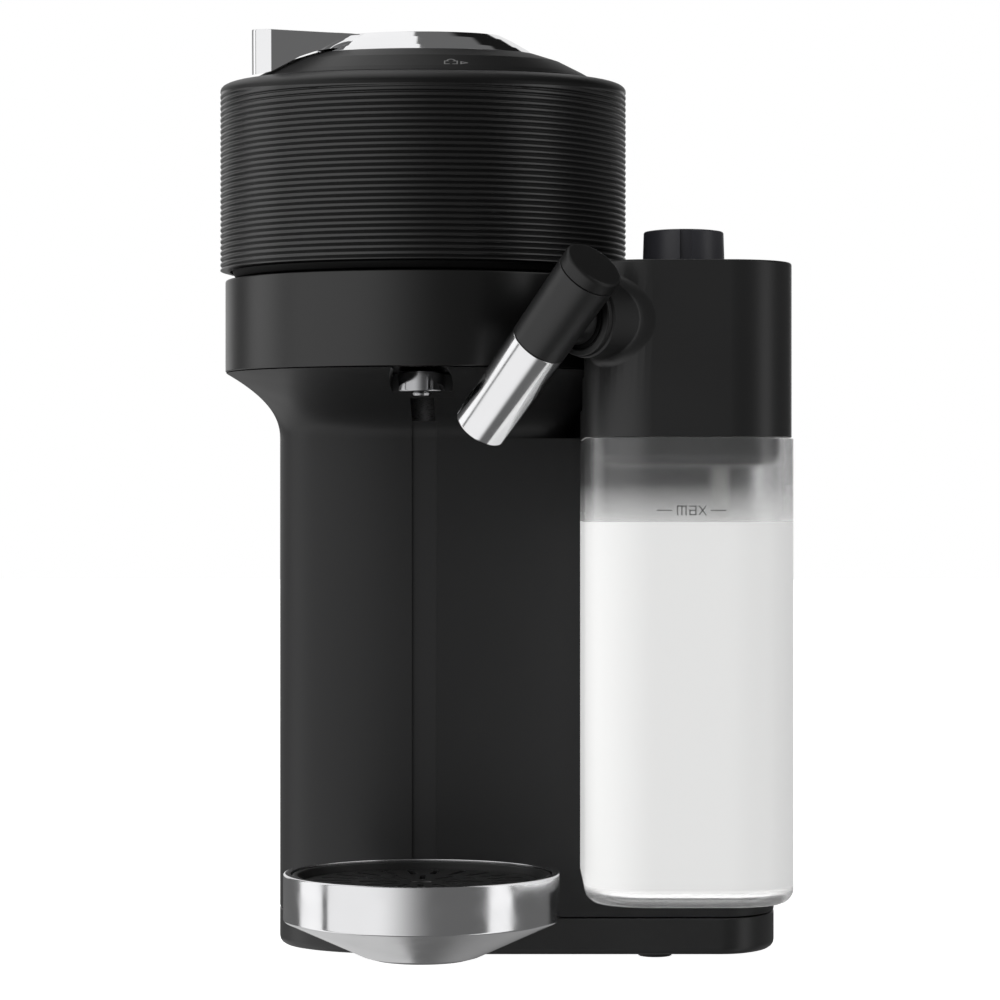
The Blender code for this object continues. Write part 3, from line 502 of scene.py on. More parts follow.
def jug_plastic():
    """Clear plastic with milk against its wall, and a painted glow from the milk fading up the wall over the
    milk.
    """
    n = clear("jug_clear", (0.93, 0.93, 0.935), 0.17, 0.03, (0.8, 0.8, 0.8))
    # The milk seen against the wall gets the same painted glow, standing in for light scattered in the milk.
    glow = {"Emission_Color": WHITE, "Emission_Strength": MILK_GLOW}
    milk = n.add("BsdfPrincipled", Base_Color=tone(MILK_TONE), Roughness=0.4, **glow)
    over_floor = n.height(0.0, 1.0, JUG.z0 + 4.0, JUG.z0 + 6.5)
    # Painted glow over the milk: a share of the glowing milk shader that fades out up the wall above the
    # milk top.
    glow_over_milk = n.height(0.27, 0.0, MILK_TOP, MILK_TOP + 13.0)
    wet = n.height(0.95, 0.0, MILK_TOP - 0.1, MILK_TOP)
    n.cover(milk.outputs[0], n.maths("MULTIPLY", over_floor, n.maths("MAXIMUM", glow_over_milk, wet)))
    return n.material


SHELL = moulded("shell_black", (0.024, 0.024, 0.0245), 0.45, specular=0.28)
RING_BLACK = moulded("ring_black", (0.006, 0.006, 0.006), 0.32, 0.3, 0.006, 0.62)
LID_BLACK = moulded("lid_black", (0.019, 0.019, 0.0193), 0.38)
BASE_BLACK = moulded("base_black", (0.019, 0.019, 0.0193), 0.42)
RIBBED = moulded("ribbed_black", (0.013, 0.013, 0.013), 0.30, 0.25, 0.004, 0.75)
DOME_BLACK = moulded("dome_black", (0.0045, 0.0045, 0.0045), 0.45, 0.3, 0.006, 0.3)
TRAY_BLACK = moulded("tray_black", (0.02, 0.02, 0.02), 0.4, 0.3, 0.006)
CAP_BLACK = moulded("cap_black", (0.006, 0.006, 0.006), 0.45, 0.25, 0.008)
GLOSS = polished("gloss_black", (0.006, 0.006, 0.006), 0.12)
CHROME = metal("chrome", (0.86, 0.86, 0.87), 0.06)
SLEEVE_CHROME = metal("sleeve_chrome", (0.84, 0.84, 0.85), 0.13)
TRAY_CHROME = metal("satin_chrome", (0.80, 0.80, 0.81), 0.16)
STEEL = metal("steel", (0.55, 0.55, 0.56), 0.3, 0.8)
OUTLET = metal("outlet_steel", (0.42, 0.42, 0.43), 0.14)
CAST = metal("cast_metal", (0.4, 0.41, 0.42), 0.5, 1.4)
INSERT_BLACK = moulded("insert_black", (0.02, 0.02, 0.02), 0.4)
KNOB_GREY = moulded("knob_grey", (0.052, 0.052, 0.062), 0.4, 0.3, 0.008)
RUBBER = moulded("rubber", (0.014, 0.014, 0.014), 0.8, 0.5, 0.03)
# Painted shade: the head's floor ring is inner plastic, made near black here to stand for the shadow in the
# gap between drum and ring.
GAP_SHADE_BLACK = moulded("floor_painted_shade", (0.006, 0.006, 0.006), 0.6, 0.5, 0.02, 0.2)
INNER = moulded("inner_plastic", (0.12, 0.12, 0.125), 0.6, 0.6, 0.02)
BOARD = polished("board_green", (0.01, 0.10, 0.04), 0.4)
HOSE = moulded("hose_white", (0.62, 0.62, 0.6), 0.45, 0.8, 0.02)
JUG_CLEAR = jug_plastic()
TANK_SMOKE = clear("tank_smoke", (0.45, 0.46, 0.48), 0.08, 0.04, (0.5, 0.5, 0.5)).material
MILK = milk_white()
ICON = moulded("icon_grey", (0.35, 0.35, 0.35), 0.5, 0.3, 0.005)
MARK = moulded("mark_grey", (0.33, 0.33, 0.33), 0.5, 0.3, 0.005)


# Outlines of the body, as lists of (x, y) running anticlockwise


def front_curve(inset=0.0, steps=24, side=-1, power=FRONT_POWER):
    """The column's rounded front, from its side to its middle."""
    half, depth = HALF - inset, FRONT_DEPTH - inset
    points = []
    for i in range(steps + 1):
        angle = pi / 2 * i / steps
        x = half * cos(angle) ** (2 / power)
        y = depth * sin(angle) ** (2 / power)
        points.append((side * x, FRONT + FRONT_DEPTH - y))
    return points


def module_corner(inset):
    return arc(MODULE_X, MODULE_Y, BODY.x1 - MODULE_X - inset, MODULE_BEND - inset, 270, 360, 16)


def module_outline(inset):
    """The module's side and rear, with the notch that holds the capsule bin."""
    points = module_corner(inset)
    points += arc(BODY.x1 - REAR_BEND, BODY.y1 - REAR_BEND, REAR_BEND - inset, REAR_BEND - inset, 0, 90, 8)
    points += [(NOTCH_X + inset, BODY.y1 - inset), (NOTCH_X + inset, NOTCH_Y - inset)]
    return points + [(BODY.x0 + inset, NOTCH_Y - inset)]


def lower_outline(inset=0.0):
    """Column and module together."""
    return front_curve(inset) + module_outline(inset)


def upper_outline(inset=0.0):
    """The body above the shoulder, behind the head and beside it."""
    front, side = UPPER_Y + inset, UPPER_X + inset
    return [(BODY.x0 + inset, front), (side, front), (side, FRONT + inset)] + module_outline(inset)


def base_outline(inset=0.0):
    """The footprint of the whole machine."""
    corner = TANK_CORNER - inset
    points = front_curve(inset) + module_corner(inset)
    points += arc(BODY.x1 - TANK_CORNER, BASE.y1 - TANK_CORNER, corner, corner, 0, 90, 16)
    return points + arc(BODY.x0 + TANK_CORNER, BASE.y1 - TANK_CORNER, corner, corner, 90, 180, 16)


def rounded_box(x0, x1, y0, y1, front, rear, inset=0.0, steps=14):
    x0, x1, y0, y1 = x0 + inset, x1 - inset, y0 + inset, y1 - inset
    front, rear = max(front - inset, 0.5), max(rear - inset, 0.5)
    points = arc(x0 + front, y0 + front, front, front, 180, 270, steps)
    points += arc(x1 - front, y0 + front, front, front, 270, 360, steps)
    points += arc(x1 - rear, y1 - rear, rear, rear, 0, 90, steps)
    points += arc(x0 + rear, y1 - rear, rear, rear, 90, 180, steps)
    return points


def jug_outline(inset=0.0, grow=0.0):
    return rounded_box(JUG.x0, JUG.x1 - JUG_GROW + grow, JUG.y0, JUG.y1, JUG_CORNER, JUG_REAR_CORNER, inset)


def tank_outline(inset=0.0):
    return rounded_box(TANK.x0, TANK.x1, TANK.y0, TANK.y1, 6.0, TANK_CORNER, inset)


def bin_outline(inset=0.0):
    return rounded_box(BIN.x0, BIN.x1, BIN.y0, BIN.y1, 4.0, 6.0, inset, 6)


# The base and the body


def make_base():
    solid = slab(base_outline, BASE.z0, BASE.z1, 2.6, 0.5)
    well = prism(rounded_box(-46, 120, 32, 166, 24, 8), 6.0, 20.0)
    hole = rod(5.4, -1, 20, along((GLAND.x, BASE.y1 + 3, GLAND.z), FORWARD), 48)
    piece("base_shell", solid, BASE_BLACK, "base", "base_plate", "dark_shell", cuts=[well, hole])


def make_feet():
    for name in ("foot_front_left", "foot_front_right", "foot_rear_left", "foot_rear_right"):
        foot = Box(name)
        corners = [(0, foot.z1), (foot.radius, foot.z1), (foot.radius, foot.z0, 0.8), (3.4, foot.z0, 0.3)]
        corners += [(3.0, foot.z0 + 0.5, 0.2), (0, foot.z0 + 0.5)]
        place = Matrix.Translation((foot.x, foot.y, 0))
        piece(f"{name}_pad", revolve(corners, 64, place), RUBBER, "base", name, "rubber")


def make_gland():
    out = GLAND.y1 - BASE.y1
    corners = [(0, 14), (5.1, 14), (5.1, 0.2), (6.4, 0.2), (6.4, -out + 1.2, 0.8)]
    corners += [(4.2, -out, 0.4), (3.4, -out, 0.3), (3.2, 3.0), (0, 3.0)]
    place = along((GLAND.x, BASE.y1, GLAND.z), FORWARD)
    piece("cord_bush", revolve(corners, 64, place), RUBBER, "base", "cord_gland", "rubber")


def make_body():
    low, top = BODY.z0, BODY.z1
    lower = slab(lower_outline, low, SHOULDER, 0.4, 0.0)
    upper = slab(upper_outline, SHOULDER - 6, top, 0.0, 1.4)
    hollow_low = prism(lower_outline(WALL), low - 6, SHOULDER - WALL)
    hollow_high = prism(upper_outline(WALL), SHOULDER - 12, top - WALL)
    neck_way = prism(neck_outline(3.2, 68.6), SHOULDER - 8, SHOULDER + 2)
    bin_way = block(CHUTE.x0 - SEAM, CHUTE.x1 + SEAM, CHUTE.y0 - SEAM, NOTCH_Y + 3, CHUTE.z0 - SEAM, top + 5)
    hook_slot = block(-16, 16, FRONT - 10, FRONT + 20, TRAY.z0 + 15.2, TRAY.z0 + 27.2)
    steam_hole = rod(9, 0, 40, along(socket_point(5), BACKWARD))
    groove = skin([groove_row(low + 4), groove_row(SHOULDER + 1)])
    cuts = [hollow_low, hollow_high, neck_way, bin_way, hook_slot, steam_hole, groove]
    piece("body_cover", lower, SHELL, "base", "body_shell", "dark_shell", joins=[upper], cuts=cuts)


def socket_point(y):
    return (NOZZLE.x, y, NOZZLE.z)


def groove_row(z):
    """The groove under the spout at a height, cut square on its left and fading out on its right."""
    front = FRONT + (-NECK_TOP_R - FRONT) * neck_share(z)
    row = [(GROOVE_LEFT, front - 3), (GROOVE_RIGHT + 0.4, front - 3), (GROOVE_RIGHT, front + 0.3)]
    return level(row + [(GROOVE_LEFT + 0.9, front + GROOVE_DEPTH), (GROOVE_LEFT, front + GROOVE_DEPTH)], z)


def neck_outline(inset=0.0, rear=NECK_REAR, steps=24):
    """The foot of the neck, where it meets the column, with a flat rear."""
    left = front_curve(inset, steps)
    right = front_curve(inset, steps, 1, NECK_RIGHT_POWER)[-2::-1]
    side = min(HALF - inset, HALF + 2 * (rear - NECK_REAR))
    back = [(side, rear - 3 + k) for k in range(4)] + [(side * (1 - k / 4), rear) for k in range(1, 9)]
    return left + right + back + [(-side, rear - k) for k in range(1, 4)]


def neck_circle(radius, steps=24):
    points = arc(0, 0, radius, radius, 180, 360, 2 * steps)
    return points + arc(0, 0, radius, radius, 12, 168, 14)


def neck_share(height):
    return min(max((height - SHOULDER) / (NECK.z1 - SHOULDER), 0.0), 1.0) ** NECK_CURVE


def neck_section(z, height, inset=0.0, rear=NECK_REAR, radius=NECK_TOP_R):
    """The neck at a height: a long hollow curve from the column out to the ring."""
    share = neck_share(height)
    pairs = zip(neck_outline(inset, rear), neck_circle(radius))
    return [(a + (c - a) * share, b + (d - b) * share, z) for (a, b), (c, d) in pairs]


def keyhole_outline():
    """The opening round the spout, from the front: a slot over a wide oval that narrows to the groove."""
    start = degrees(asin(SLOT_HALF / SPOUT_RECESS_R))
    stop = degrees(acos(GROOVE_RIGHT / SPOUT_RECESS_R))
    right = arc(0, KEYHOLE_Z, SPOUT_RECESS_R, KEYHOLE_TALL, 90 - start, -stop, 14)
    right = [(SLOT_HALF, NECK.z1 + 1)] + right
    return right + [(-x, z) for x, z in reversed(right)]


def make_neck():
    rows = 26
    heights = [SHOULDER + (NECK.z1 - SHOULDER) * i / rows for i in range(rows + 1)]
    hollow = [level(neck_outline(NECK_WALL, NECK_INNER_REAR), SHOULDER - 4)]
    for z in heights:
        hollow.append(neck_section(z + NECK_WALL, z, NECK_WALL, NECK_INNER_REAR, RING.radius - NECK_WALL))
    around_spout = block(-SPOUT_BLOCK, SPOUT_BLOCK, -80, SPOUT.y + SPOUT_BLOCK, 180, NECK.z1 - 0.8)
    hollow = without(skin(hollow), [around_spout])
    keyhole = skin([[(x, y, z) for x, z in keyhole_outline()] for y in (-80, SPOUT.y + SPOUT_RECESS_R)])
    channel = block(GROOVE_LEFT, GROOVE_RIGHT - 0.6, SPOUT.y, FRONT + 4, CHANNEL_Z, SPOUT.z0)
    groove = skin([groove_row(SHOULDER - 3 + (CHANNEL_Z - SHOULDER + 3) * i / 8) for i in range(9)])
    shell = skin([neck_section(z, z) for z in heights])
    cuts = [hollow, keyhole, channel, groove]
    piece("neck_cover", shell, SHELL, "base", "neck_shell", "dark_shell", cuts=cuts, sharp=28)


def make_ring():
    """The smooth ring under the gap, with the deck round the capsule cup."""
    outer, inner, hole, low, top, deck = RING.radius, 66.4, 34.9, RING.z0, RING.z1, CUP.z1
    corners = [(outer, top, 0.7), (outer, low, 0.5), (inner, low), (inner, deck - 3.5)]
    corners += [(hole, deck - 3.5), (hole, deck, 0.6), (inner - 0.6, deck, 0.5), (inner - 0.6, top, 0.4)]
    piece("ring_cover", revolve(corners, 256), RING_BLACK, "base", "capsule_housing", "dark_shell")


def make_coffee_spout():
    z0 = SPOUT.z0
    corners = [(0, NECK.z1 - SEAM), (8, NECK.z1 - SEAM), (8, z0 + 1.5, 0.7), (6.4, z0 + 1.2, 0.4)]
    corners += [(3.4, z0 + 1.0, 0.5), (2.8, z0, 0.3), (1.4, z0, 0.2), (1.2, z0 + 3), (0, z0 + 3)]
    place = Matrix.Translation((0, SPOUT.y, 0))
    piece("coffee_outlet", revolve(corners, 96, place), OUTLET, "base", "coffee_spout", "steel")


# The head


def rib_radius(z):
    """The drum's radius at a height: broad round ribs with narrow grooves between them."""
    wave = 0.5 - 0.5 * cos(2 * pi * (RIB_TOP - z) / RIB_PITCH)
    return DRUM.radius - RIB_DEPTH * wave**2


def shoulder_curve(steps=10):
    """From the drum's side over its shoulder to the dome, as (radius, z) on a Bezier curve."""
    r = DRUM.radius
    a, b = Vector((r, SHOULDER_Z)), Vector((r, SHOULDER_Z + 2.9))
    c, d = Vector((66.6, 311.7)), Vector((SHOULDER_R, CROWN_Z))
    curve = []
    for i in range(1, steps + 1):
        t = i / steps
        s = 1 - t
        p = a * s**3 + b * 3 * s * s * t + c * 3 * s * t * t + d * t**3
        curve.append((p.x, p.y))
    return curve


def turned(profile, angle):
    """A profile of (radius, z) at an angle round Z."""
    return [(r * cos(angle), r * sin(angle), z) for r, z in profile]


def make_drum():
    """The ribbed drum; the tilted shoulder cuts across its top ribs."""
    segments, rib_rows, top_rows = 256, 8, 44
    low, split, inner_r, lip_r = DRUM.z0, 300.0, 66.4, 58.8
    start = low + 0.5
    count = round((split - start) / (RIB_PITCH / rib_rows))
    ribs = [start + (split - start) * i / count for i in range(count + 1)]
    drum, shoulder = [], []
    for i in range(segments):
        a = 2 * pi * i / segments
        lift = sin(a) * tan(TILT)
        edge = SHOULDER_Z + DRUM.radius * lift
        profile = [(67.6, low), (69.2, low)] + [(rib_radius(z), z) for z in ribs]
        for k in range(1, top_rows + 1):
            z = split + (edge - split) * k / top_rows
            near = max(0.0, 1 - (edge - z) / 1.2)
            profile.append((rib_radius(z) * (1 - near) + DRUM.radius * near, z))
        inner = (inner_r, 304.6 + inner_r * lift)
        rim = [(DRUM.radius, edge)] + [(r, z + r * lift) for r, z in shoulder_curve()]
        drum.append(turned(profile + [inner, (67.6, 299.0)], a))
        shoulder.append(turned(rim + [(lip_r, 309.4 + lip_r * lift), inner], a))
    piece("drum_cover", skin(drum, ring=True), RIBBED, "head", "head_drum", "ribbed_black", sharp=50)
    piece("drum_shoulder", skin(shoulder, ring=True), DOME_BLACK, "head", slot="gloss_black", sharp=50)


def make_dome():
    corners = [(38.9, 8.4, 0.2), (43.4, 7.0, 1.0)] + [(r, z, 3.0) for r, z in DOME_SLOPE]
    corners += [(58.3, 0.2, 0.3), (58.3, -2.8), (55.0, -1.4), (47.0, 2.4), (43.0, 3.8), (38.9, 4.8)]
    piece("dome_cover", revolve(corners, 256, tilted()), DOME_BLACK, "head", "head_dome", "gloss_black")


def stroke(on, points, width, depth):
    """A flat bar along points of a surface; on(u, v, out) places a point of it in space."""
    solids = []
    for (u0, v0), (u1, v1) in zip(points, points[1:]):
        way = Vector((u1 - u0, v1 - v0)).normalized() * (width / 2)
        side = Vector((-way.y, way.x))
        a, b = Vector((u0, v0)) - way, Vector((u1, v1)) + way
        corners = [a + side, a - side, b - side, b + side]
        solids.append(skin([[on(p.x, p.y, out) for p in corners] for out in (depth, -0.1)]))
    return joined(*solids)


def on_dome(x, climb, out):
    """A point of the dome's front slope, by its distance up the slope from the icons' foot."""
    slope = Vector((DOME_SLOPE[1][0] - DOME_SLOPE[0][0], DOME_SLOPE[1][1] - DOME_SLOPE[0][1])).normalized()
    spot = Vector(DOME_SLOPE[1]) - slope * (climb + ICON_FOOT) + Vector((-slope.y, slope.x)) * out
    y = -sqrt(spot.x**2 - x**2)
    return tuple(tilted() @ Vector((x, y, spot.y)))


def make_icons():
    """A lock and an arrow on the dome's front, which show what the lever does."""
    arch = [(10.4 + x, y + 2.6) for x, y in arc(0, 0, 1.35, 1.5, 180, 0, 8)]
    lock = [(8.3, 0.2), (12.5, 0.2), (12.5, 2.6), (8.3, 2.6), (8.3, 0.2)]
    arrow = [(13.8, 0.3), (15.9, 1.2), (13.8, 2.1), (13.8, 0.3)]
    strokes = [stroke(on_dome, line, PRINT_WIDTH, PRINT_DEPTH) for line in (arch, lock, arrow)]
    piece("lock_icon", joined(*strokes), ICON, "head")


def make_top_panel():
    corners = [(0, 8.8), (11.3, 8.8), (11.3, 14.9, 0.4), (14, 14.85, 2), (25.4, 14.35, 0.6)]
    corners += [(25.4, 2.6), (36, 2.6), (36, -1), (0, -1)]
    holes = [rod(3.0, 9.8, 20, recipe_place(side), 48) for side in RECIPES]
    solid = revolve(corners, 160, tilted())
    piece("panel_cover", solid, GLOSS, "head", "top_panel", "gloss_black", cuts=holes)


def recipe_place(side):
    """The tilted plane's frame, moved to a recipe button's axis."""
    button = Box(f"recipe_button_{side}")
    flat = tilted().inverted() @ Vector((button.x, button.y, button.z))
    return tilted() @ Matrix.Translation((flat.x, flat.y, 0))


def make_buttons():
    corners = [(0, 15.4), (8, 15.6, 2), (10.4, 15.2, 1.2), (10.9, 14.6, 0.4), (10.9, 10.9), (0, 10.9)]
    piece("brew_cap", revolve(corners, 128, tilted()), CHROME, "brew_button", "brew_button", "chrome")
    corners = [(0, 15.0), (2.0, 15.1, 0.6), (2.6, 14.8, 0.4), (2.6, 11.2), (0, 11.2)]
    for side in RECIPES:
        solid, node = revolve(corners, 48, recipe_place(side)), f"recipe_button_{side}"
        piece(f"recipe_cap_{side}", solid, GLOSS, f"recipe_{side}", node, "gloss_black")


# The lever


def crown_height(radius):
    """Height of dome and shoulder over the tilted plane, at a distance from the axis."""
    radius = max(radius, CROWN[0][0])
    for (r0, z0), (r1, z1) in zip(CROWN, CROWN[1:]):
        if radius <= r1:
            return z0 + (z1 - z0) * (radius - r0) / (r1 - r0)
    return CROWN[-1][1]


def cone_radius(z):
    for (r0, z0), (r1, z1) in zip(CONE, CONE[1:]):
        if z >= z1:
            return r0 + (r1 - r0) * (z0 - z) / (z0 - z1)
    return CONE[-1][0]


def blend_points(z, steps=8):
    """The hollow blend between the wing's upright face and the cone at a height."""
    way = (WING_CREASE - WING_ROOT).normalized()
    normal = Vector((-way.y, way.x))
    if normal.y > 0:
        normal.negate()
    radius = cone_radius(z)
    foot = WING_ROOT + normal * WING_BLEND
    reach = radius + WING_BLEND
    b = foot.dot(way)
    t = -b + sqrt(b * b - foot.length_squared + reach * reach)
    centre = foot + way * t
    on_cone = -centre.normalized()
    start, stop = atan2(on_cone.y, on_cone.x), atan2(-normal.y, -normal.x)
    turn = (stop - start + pi) % (2 * pi) - pi
    points = []
    for k in range(steps + 1):
        a = start + turn * k / steps
        points.append(centre + Vector((cos(a), sin(a))) * WING_BLEND)
    return [points[0] - centre.normalized() * 2.0] + points


def wing_front(z):
    """The wing's front face at a height, from inside the cone to the tip's flat end."""
    points = blend_points(z)
    start = points[-1]
    points += [start.lerp(WING_CREASE, i / 6) for i in range(1, 7)]
    points += [WING_CREASE.lerp(WING_FACET, i / 2) for i in range(1, 3)]
    for k in range(1, 6):
        a = radians(240 - 90 * k / 5)
        points.append(WING_END + Vector((cos(a), sin(a))) * WING_END_R)
    return points


def wing_back(count):
    """The wing's back at the same stations as its front."""
    root, tip = Vector((-24.0, 4.0)), Vector((-55.0, -13.5))
    corner = Vector((-54.6, -16.8))
    bend = 7
    points = [root.lerp(tip, i / (count - bend - 1)) for i in range(count - bend)]
    for k in range(1, bend + 1):
        a = radians(100 + 70 * k / bend)
        points.append(corner + Vector((cos(a) * 3.8, sin(a) * 3.4)))
    return points


def wing_low(spot):
    """Height of the wing's lower edge over the dome."""
    return max(crown_height(spot.length) + 0.9, -0.3)


def make_lever():
    ring = [(25.8, LEVER_TOP, 0.3), (27.0, LEVER_TOP - 0.1, 1.2), (31, 12.9, 6), (36.3, 9.9, 6)]
    ring += [(38.5, 8.4, 0.3), (38.5, 7.4), (34, 7.4), (34, 4.0), (25.8, 4.0)]
    feet, tops = wing_front(WING_FOOT), wing_front(LEVER_TOP)
    rows = 8
    sections = []
    for i, (foot, top, back) in enumerate(zip(feet, tops, wing_back(len(tops)))):
        reach = (foot - WING_ROOT).length / (WING_END - WING_ROOT).length
        edge = LEVER_TOP - WING_DROP + (WING_DROP + WING_RISE) * min(max(reach, 0.0), 1.0)
        low = wing_low(foot)
        heights = [low + (edge - 0.5 - low) * k / rows for k in range(rows + 1)]
        section = [(*wing_front(z)[i], z) for z in heights]
        across = (back - top).normalized()
        section += [(*(top + across * inset), edge - drop) for inset, drop in ((0.15, 0.15), (0.5, 0.0))]
        rim = ((0.5, 0.0), (0.15, 0.15), (0.0, 0.5))
        section += [(*(back - across * inset), edge - drop) for inset, drop in rim]
        sections.append(section + [(*back, wing_low(back))])
    solid = joined(revolve(ring, 256, tilted()), skin(sections, tilted()))
    piece("lever_cover", solid, CHROME, "lever", "lever", "chrome", sharp=40)


# The cup support


def at_tray(corners, segments=192):
    return revolve(corners, segments, Matrix.Translation((0, TRAY.y0 + TRAY.radius, 0)))


def make_cup_support():
    r, top = TRAY.radius, TRAY.z1
    corners = [(44.7, top, 0.25), (r, top, 0.7), (r, 21.3, 1.0), (20, 8.9, 3.0), (16, TRAY.z0, 1.5)]
    corners += [(0, TRAY.z0), (0, 10.6), (16.5, 10.6), (44.7, 23.4)]
    hook = prism(rounded_box(-14, 14, 14.0, TRAY.y1, 0.6, 0.6, 0, 2), 25, 33)
    solid = at_tray(corners)
    piece("support_cover", solid, TRAY_CHROME, "cup_support", "cup_support", "chrome", joins=[hook])


def make_drip_bowl():
    r, top, low = BOWL.radius, BOWL.z1, BOWL.z0
    corners = [(42.2, top, 0.5), (r, top, 0.5), (r, 24.0), (16.2, low), (0, low), (0, low + 1.8)]
    corners += [(15.8, low + 1.8, 2), (39.4, 24.2, 2), (39.4, 31.3, 0.3), (42.2, 31.3)]
    piece("bowl_cover", at_tray(corners), TRAY_BLACK, "cup_support", "drip_bowl", "gloss_black")


def slot_outline(inner, outer, half, steps=5):
    """A radial slot with round ends, along +X."""
    outer_end = arc(outer - half, 0, half, half, -90, 90, steps)
    return outer_end + arc(inner + half, 0, half, half, 90, 270, steps)


def make_drip_grid():
    low, top, r = GRID.z0, GRID.z1, GRID.radius
    corners = [(3.6, top, 0.6), (r, top, 0.5), (r, low, 0.2), (3.6, low, 0.2)]
    slots = []
    for count, inner, outer, start in ((12, 8.0, 21.5, 0.0), (24, 24.0, 38.0, 7.5)):
        for i in range(count):
            turn = Matrix.Rotation(radians(start + 360 * i / count), 4, "Z")
            place = Matrix.Translation((0, GRID.y, 0)) @ turn
            slots.append(prism(slot_outline(inner, outer, 1.1), low - 1, top + 1, place))
    cuts = [joined(*slots)]
    piece("grid_cover", at_tray(corners), TRAY_BLACK, "drip_grid", "drip_grid", "gloss_black", cuts=cuts)


# The milk unit


def head_relief(inset=0.0):
    """What the round head needs of the milk lid, open to the rear so that the unit slides out."""
    low, side = RING_RELIEF_Z - inset, RELIEF_R + inset
    flare = [(40, -26 - inset), (57.5 + inset, -26 - inset), (70 + inset, 2), (side, 40), (40, 40)]
    flare = prism(flare, NECK_RELIEF_Z - inset, low + 1)
    return [disc(side, low, 260, segments=256), block(20, side, 0, 40, low, 260), flare]


def collar_point(distance):
    """A point on the milk spout's turning axis, a distance behind its tube."""
    return SPOUT_PIVOT - SPOUT_AXIS * distance


def lid_distance(x, y):
    """Distance of a point from the lid's upright wall, negative inside."""
    half_x, half_y = (JUG.x1 - JUG_GROW - JUG.x0) / 2, (JUG.y1 - JUG.y0) / 2
    dx = abs(x - (JUG.x0 + half_x)) - (half_x - JUG_CORNER)
    dy = abs(y - (JUG.y0 + half_y)) - (half_y - JUG_CORNER)
    return hypot(max(dx, 0), max(dy, 0)) + min(max(dx, dy), 0) - JUG_CORNER


def wall_normal(x, y):
    step = 0.01
    gx = lid_distance(x + step, y) - lid_distance(x - step, y)
    gy = lid_distance(x, y + step) - lid_distance(x, y - step)
    return Vector((gx, gy, 0)).normalized()


def wall_reach(start):
    """How far a line runs back along the spout's axis before it meets the lid's wall."""
    reach, limit, touch = 0.0, 45.0, 0.001
    for _ in range(80):
        spot = start - SPOUT_AXIS * reach
        gap = lid_distance(spot.x, spot.y)
        if gap < touch or reach > limit:
            break
        reach += max(gap * 0.7, touch)
    return min(reach, limit)


def boss():
    """The lid's boss for the milk spout, blended into the lid's rounded corner."""
    segments, rows = 128, 12
    front = collar_point(COLLAR_BACK + SEAM)
    side = UP.cross(SPOUT_AXIS)
    sections = [[] for _ in range(rows + 4)]
    for i in range(segments):
        a = 2 * pi * i / segments
        out = side * cos(a) + UP * sin(a)
        near = wall_reach(front + out * BOSS_R)
        start = front + out * BOSS_R - SPOUT_AXIS * max(near - BOSS_BLEND, 1.5)
        wide = front + out * (BOSS_R + BOSS_BLEND)
        end = wide - SPOUT_AXIS * wall_reach(wide)
        normal = wall_normal(end.x, end.y)
        leave = (out - normal * out.dot(normal)).normalized() * BOSS_BLEND * 1.2
        come = -SPOUT_AXIS * BOSS_BLEND * 1.2
        run = [front + out * (BOSS_R - 0.6), front + out * BOSS_R - SPOUT_AXIS * 0.6]
        for k in range(rows + 1):
            t = k / rows
            h = (2 * t**3 - 3 * t**2 + 1, t**3 - 2 * t**2 + t, -2 * t**3 + 3 * t**2, t**3 - t**2)
            run.append(start * h[0] + come * h[1] + end * h[2] + leave * h[3])
        run.append(end - normal * 2.5)
        for section, point in zip(sections, run):
            section.append(tuple(point))
    sections.append([tuple(collar_point(BOSS_ROOT + 2))])
    return skin(sections)


def make_milk_lid():
    wall = 3.0
    made = solid_object("lid", slab(jug_outline, LID_Z0, LID_Z1, 0.3, 0.9))
    hollow = without(prism(jug_outline(wall), LID_Z0 - 5, LID_ROOF), head_relief(wall))
    spout_mount = prism([(57, -58), (74, -75), (84, -62), (66, -46)], 208, LID_ROOF + 0.1)
    joins = [without(spout_mount, head_relief())]
    combine(made, [boss()], "UNION")
    combine(made, head_relief() + [hollow], "DIFFERENCE")
    cuts = [
        disc(5.4, 230, 250, KNOB.x, KNOB.y),
        rod(5.9, 0, 40, along(collar_point(30), SPOUT_AXIS)),
        rod(6.0, 0, 40, along(socket_point(5), BACKWARD)),
    ]
    options = {"joins": joins, "cuts": cuts, "sharp": 30}
    piece("lid_cover", made, LID_BLACK, "milk_lid", "milk_lid", "dark_shell", **options)


def make_lid_insert():
    solid = slab(lambda inset: jug_outline(3.6 + inset), INSERT.z0, INSERT.z1, 4.0, 0.0)
    cuts = head_relief(4.0)
    piece("insert_cover", solid, INSERT_BLACK, "milk_lid", "lid_insert", "gloss_black", cuts=cuts)


def make_nozzle():
    length = NOZZLE.y1 - NOZZLE.y0
    corners = [(2.0, length, 0.3), (4.6, length, 0.4), (5.6, length - 2, 0.4), (5.6, 0), (0, 0)]
    corners += [(0, length - 12), (2.0, length - 12)]
    solid = revolve(corners, 64, along(socket_point(NOZZLE.y0), BACKWARD))
    piece("nozzle_tube", solid, STEEL, "milk_lid", "steam_nozzle", "steel")


def make_collar():
    place = along(collar_point(COLLAR_BACK), SPOUT_AXIS)
    corners = [(6.0, 2.4), (10.6, 2.4, 0.3), (COLLAR_R, 1.9, 0.7), (COLLAR_R, 0, 0.2), (6.0, 0)]
    groove = revolve([(9.6, 5), (10.2, 5), (10.2, 1.8), (9.6, 1.8)], 96, place)
    solid = revolve(corners, 128, place)
    piece("collar_ring", solid, CAP_BLACK, "milk_lid", "spout_collar", "gloss_black", cuts=[groove])


def spout_direction():
    """The tube's direction, from its top end down: halfway between level and straight down."""
    level_way = UP.cross(SPOUT_AXIS)
    if level_way.y < 0:
        level_way.negate()
    return (level_way - UP).normalized()


def spout_radius(distance):
    return SPOUT_TOP_R + (SPOUT_END_R - SPOUT_TOP_R) * distance / SPOUT_LENGTH


